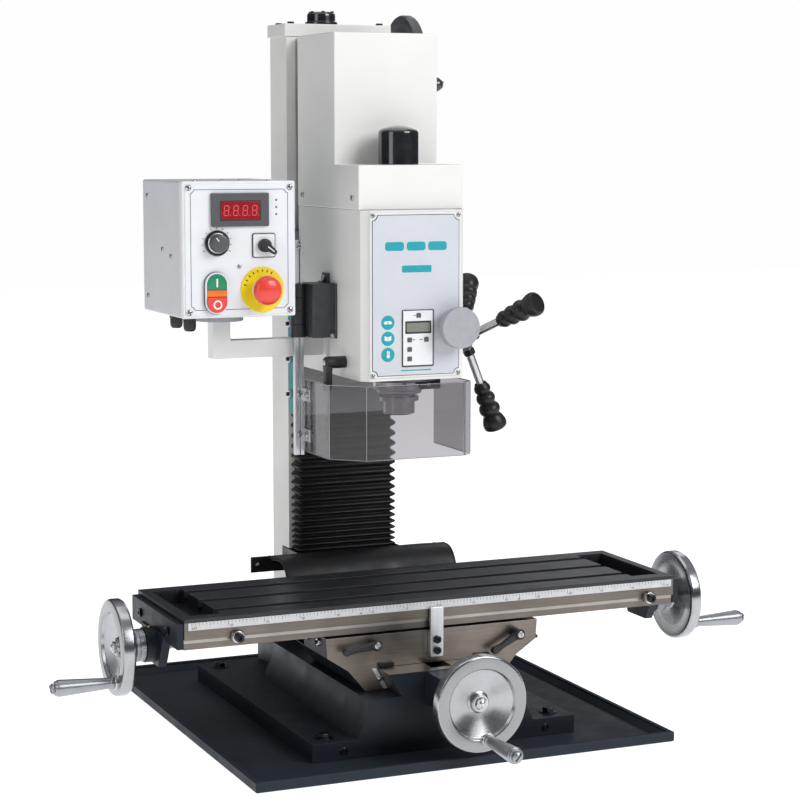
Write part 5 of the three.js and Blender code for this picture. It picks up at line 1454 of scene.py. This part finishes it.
def control_box():
    """Arm and box with lid, screws and cable glands, and the controls on its face."""
    dress("control_arm", "white_sheet", 1.8, 4)
    swivel = PIVOTS["control_box_swivel"]
    cx, half, front, back = swivel.x, BOX_HALF, swivel.y - BOX_DEEP, swivel.y + BOX_DEEP
    low, high = BOX_LOW, BOX_HIGH
    shell = slab("control_box_body", (cx - half, front + 13.6, low), (cx + half, back, high), 3.2, 5)
    finish(shell, "box", "control_box", "control_box")
    seam = slab("control_box_seam", (cx - half + 1.6, front + 12, low + 1.6),
                (cx + half - 1.6, front + 15, high - 1.6), 0.4)
    finish(seam, "ink", "control_box")
    lid = slab("control_box_rim", (cx - half, front + 1.6, low), (cx + half, front + 12.6, high), 2.4, 5)
    finish(lid, "panel_edge", "control_box")
    face = prism("control_box_face", rounded(2 * half - 7, high - low - 7, 2.4, cx, (low + high) / 2), "y",
                 front + 0.2, front + 2.4, 0.7, 3)
    finish(face, "box_face", "control_box")
    mid = (low + high) / 2
    corners = notched(cx, mid, 2 * half - 19, high - low - 19, 7.2, spare=15)
    outline = tube("control_box_outline", [(x, front + 0.15, z) for x, z in corners], 0.42, True, 2)
    finish(outline, "ink", "control_box")
    for n, (x, z) in enumerate((sx * (half - 8.6), z) for sx in (-1, 1) for z in (low + 8.6, high - 8.6)):
        slot_screw(f"box_screw_{n}", on_box(x, z, -0.1), -Y, "control_box", 4.4, 2.0, turn=0.3 + n)
    slot_screw("box_middle_screw", on_box(-1, 652, -0.2), -Y, "control_box", 3.2, 1.6, turn=0.2)
    for n, x in enumerate((-60, -22, 4, 44)):
        slot_screw(f"box_top_screw_{n}", (cx + x, front + 8, high - 0.2), Z, "control_box", 3.2, 1.9)
    for n, (y, z) in enumerate(((front + 52, mid - 10), (front + 90, mid - 2), (back - 24, low + 22),
                                (back - 24, high - 22))):
        slot_screw(f"box_side_screw_{n}", (cx - half, y, z), -X, "control_box", 3.6, 1.8)
    flange = [(0, 0), (33.4, 0), (34, 0.8), (34, 8.6), (32.6, 11), (0, 11)]
    turned("swivel_disc", flange, (cx, swivel.y, low - 11), Z, "grey_knob", "control_box", sides=96)
    for n, y in enumerate((15, -45)):
        at = Vector((cx - 57, swivel.y + y, low + 0.2))
        nut = prism(f"gland_nut_{n}", hexagon(10), "z", 0, 7, 0.8, 3)
        finish(stand(nut, at, -Z, 0.4 * n), "black", "control_box")
        dome = [(4.2, 6.6), (8.8, 6.6), (8.8, 14), (8.0, 18.4), (6.0, 20.6), (4.2, 20.8)]
        turned(f"gland_dome_{n}", dome, at, -Z, "black", "control_box", sides=48, bevel=0.3, closed=True)
    speed_display()
    speed_control()
    switch()
    push_buttons()
    emergency()


def speed_display():
    """Red window with four dim digits in a dark bezel, and three marks beside it."""
    x, y, z = on_box(0, 727.5)
    body = "control_box"
    plate("display_bezel", rounded(82, 45, 1.6, x, z + 1), y, -0.4, 4, "charcoal", body, bevel=0.8)
    plate("display_lip", rounded(58, 27, 0.8, x, z), y, 3.4, 4.5, "black", body, bevel=0.4, segments=2)
    plate("display_window", rounded(55, 24, 0.6, x, z), y, 4.2, 4.7, "window", body, bevel=0.15, segments=2)
    bars = []
    wide, tall, t, lean = 6.4, 13.0, 1.15, 0.08
    segments = [((-1, v), (1, v)) for v in (1, 0, -1)]
    segments += [((u, v), (u, v + 1)) for v in (0, -1) for u in (-1, 1)]
    for digit in range(4):
        cx = x - 20 + 13.3 * digit
        for (a0, b0), (a1, b1) in segments:
            u0, v0, u1, v1 = a0 * wide / 2, b0 * tall / 2, a1 * wide / 2, b1 * tall / 2
            if v0 == v1:
                u0, v0, u1, v1 = u0 + 0.5, v0 - t / 2, u1 - 0.5, v0 + t / 2
            else:
                u0, v0, u1, v1 = u0 - t / 2, v0 + 0.6, u0 + t / 2, v1 - 0.6
            shape = [(cx + u + lean * v, z + v) for u, v in ((u0, v0), (u1, v0), (u1, v1), (u0, v1))]
            bars.append(prism("segment", shape, "y", y - 4.82, y - 4.6, 0))
        bars.append(prism("segment", rounded(1.4, 1.4, 0.5, cx + 5.4, z - 6.3), "y", y - 4.82, y - 4.6, 0))
    finish(join("display_segments", bars), "segment", "control_box")
    spots = [rounded(2.2, 2.6, 0.5, x + 52.5, 741 - 9.5 * k) for k in range(3)]
    bits = [prism("display_tick", spot, "y", y - 0.15, y + 0.4, 0) for spot in spots]
    finish(join("display_marks", bits), "ink", "control_box")


def speed_control():
    """Ribbed speed knob with a pointer, in a chrome ring and a black ring, with ticks round it."""
    pin = PIVOTS["speed_knob_turn"]
    at = on_box(pin.x - PIVOTS["control_box_swivel"].x, pin.z)
    ring = [(13.6, 0), (17.5, 0), (17.5, 2.4), (16.8, 3.4), (13.6, 3.4)]
    turned("speed_scale_ring", ring, at, -Y, "gloss_black", "control_box", sides=96, bevel=0.2, closed=True)
    turned("speed_chrome_ring", [(11.6, 0), (13.9, 0), (13.9, 5.0), (13.0, 5.8), (11.6, 5.8)], at, -Y,
           "bright", "speed_knob", sides=96, bevel=0.2, closed=True)
    knob = [(0, 0), (11.4, 0), (12.6, 4), (11.8, 15.4), (10.8, 17.4), (8.6, 18), (0, 17.6)]
    turned("speed_knob_body", knob, at, -Y, "charcoal", "speed_knob", "speed_knob", sides=96, bevel=0.3)
    ribs = 24

    def rib(i):
        return on_rim(at, FORWARDS, 2 * math.pi * i / ribs, 12.25, 5)

    finish(ticks("speed_knob_ribs", ribs, rib, lambda i: (9.5, 0.9)), "black", "speed_knob")
    turn = math.radians(40)
    pointer = slab("speed_pointer", (-0.6, 4, 17.5), (0.6, 10, 18.15), 0.1)
    finish(stand(pointer, at, -Y, turn), "mark", "speed_knob")

    def tick(i):
        return on_disc(at - 0.12 * Y, math.radians(-30 + 24 * i), 19.2)

    finish(ticks("speed_ticks", 11, tick, lambda i: (3.2 if i % 5 == 0 else 2.0, 0.7)), "ink", "control_box")


def switch():
    """Direction switch: a light plate with a black lever."""
    pin = PIVOTS["direction_switch_turn"]
    at = on_box(pin.x - PIVOTS["control_box_swivel"].x, pin.z)
    x, y, z = at
    body = "control_box"
    plate("switch_frame", rounded(33, 33, 2.6, x, z), y, -0.3, 1.6, "ink", body, bevel=0.3, segments=2)
    plate("switch_plate", rounded(30.6, 30.6, 2.2, x, z), y, 1.2, 2.2, "panel_edge", body, bevel=0.3,
          segments=2)
    boss = [(0, 0), (9.2, 0), (9.2, 5.6), (8.4, 7.4), (0, 7.8)]
    turned("switch_boss", boss, at + Vector((0, -2.3, 0)), -Y, "black", "direction_switch",
           "direction_switch", sides=64, bevel=0.3)
    lever = [(-7.6, -4.6), (-8.6, 0), (-7.6, 4.6), (0, 6.2), (12, 3.9), (17.2, 3.0), (18.2, 0), (17.2, -3.0),
             (12, -3.9), (0, -6.2)]
    line = [(2, -0.6), (14, -0.6), (14, 0.6), (2, 0.6)]
    down = -0.65
    arm = prism("switch_lever", lever, "z", 8.6, 13.4, 1.3, 4)
    tip = prism("switch_pointer", line, "z", 13.3, 13.7, 0)
    for piece, material in ((arm, "black"), (tip, "mark")):
        piece.matrix_world = Matrix.Translation(at * MM) @ FORWARDS @ Matrix.Rotation(down, 4, "Z")
        finish(piece, material, "direction_switch")


def push_buttons():
    """Stadium-shaped holder with a green start half, an orange strip and a red stop half."""
    at = on_box(-35, 617)
    x, y = at.x, at.y
    low, high, radius = 605.0, 629.0, 16.7

    def stadium(r):
        return arc(r, 0, math.pi, 16, x, high) + arc(r, math.pi, 2 * math.pi, 16, x, low)

    plate("button_base", stadium(radius), y, -0.4, 3.2, "charcoal", "control_box", bevel=0.6)
    plate("button_surround", stadium(radius - 0.6), y, 2.6, 6.4, "panel_edge", "control_box", bevel=1.0)
    plate("button_gap", stadium(radius - 2.6), y, 5.6, 6.6, "ink", "control_box")
    r = radius - 3.0
    top = arc(r, 0, math.pi, 20, x, high) + [(x - r, 621.6), (x + r, 621.6)]
    plate("start_cap", top, y, 5.2, 7.4, "green", "start_button", "start_button", bevel=0.6)
    foot = arc(r, math.pi, 2 * math.pi, 20, x, low) + [(x + r, 611.6), (x - r, 611.6)]
    plate("stop_cap", foot, y, 5.9, 9.4, "red", "stop_button", "stop_button", bevel=0.6)
    strip = [(x - r, 612.2), (x + r, 612.2), (x + r, 621.0), (x - r, 621.0)]
    plate("button_lamp", strip, y, 5.2, 7.2, "orange", "control_box", bevel=0.5)
    plate("start_mark", rounded(2.2, 11.5, 0.3, x, 631), y, 7.2, 7.55, "mark", "start_button")
    ring = [(4.2, 0), (6.2, 0), (6.2, 0.2), (4.2, 0.2)]
    turned("stop_mark", ring, (x, y - 9.3, 601.6), -Y, "mark", "stop_button", sides=64, bevel=0, closed=True)


def emergency():
    """Red mushroom on a light neck, on a round yellow plate with plain dark marks."""
    pin = on_box(31.5, 620)
    disc = [(0, 0), (31, 0), (31, 1.2), (30.4, 1.7), (0, 1.7)]
    turned("stop_plate", disc, pin, -Y, "yellow", "control_box", sides=128, bevel=0.2)

    def mark(i):
        return on_disc(pin - 1.72 * Y, math.radians(60 + 15 * i), 24.2)

    finish(ticks("stop_plate_marks", 8, mark, lambda i: (3.6, 1.5)), "ink", "control_box")
    neck = [(0, 0), (15.0, 0), (15.2, 2), (14.6, 7), (11.6, 13.2), (9.0, 14.6), (0, 14.6)]
    turned("stop_neck", neck, pin + Vector((0, -1.4, 0)), -Y, "panel_edge", "control_box", sides=96,
           bevel=0.3)
    mushroom = [(0, 14.5), (8.6, 14.5), (9.2, 15.6), (9.8, 17.2), (16.4, 17.8), (19.2, 18.8), (20.0, 20.6),
                (19.8, 23.4), (18.2, 27.0), (14.8, 30.0), (9.0, 31.6), (0, 32)]
    turned("stop_mushroom", mushroom, pin, -Y, "red", "emergency_stop", "emergency_stop", sides=128,
           bevel=0.3)


M = build_materials()
camera()
studio()
base()
column()
bellows()
way_cover()
saddle()
table()
handwheels()
feed_screws()
head()
front_panel()
drive()
spindle()
capstan()
feed_knob()
quill_lock()
guard()
control_box()
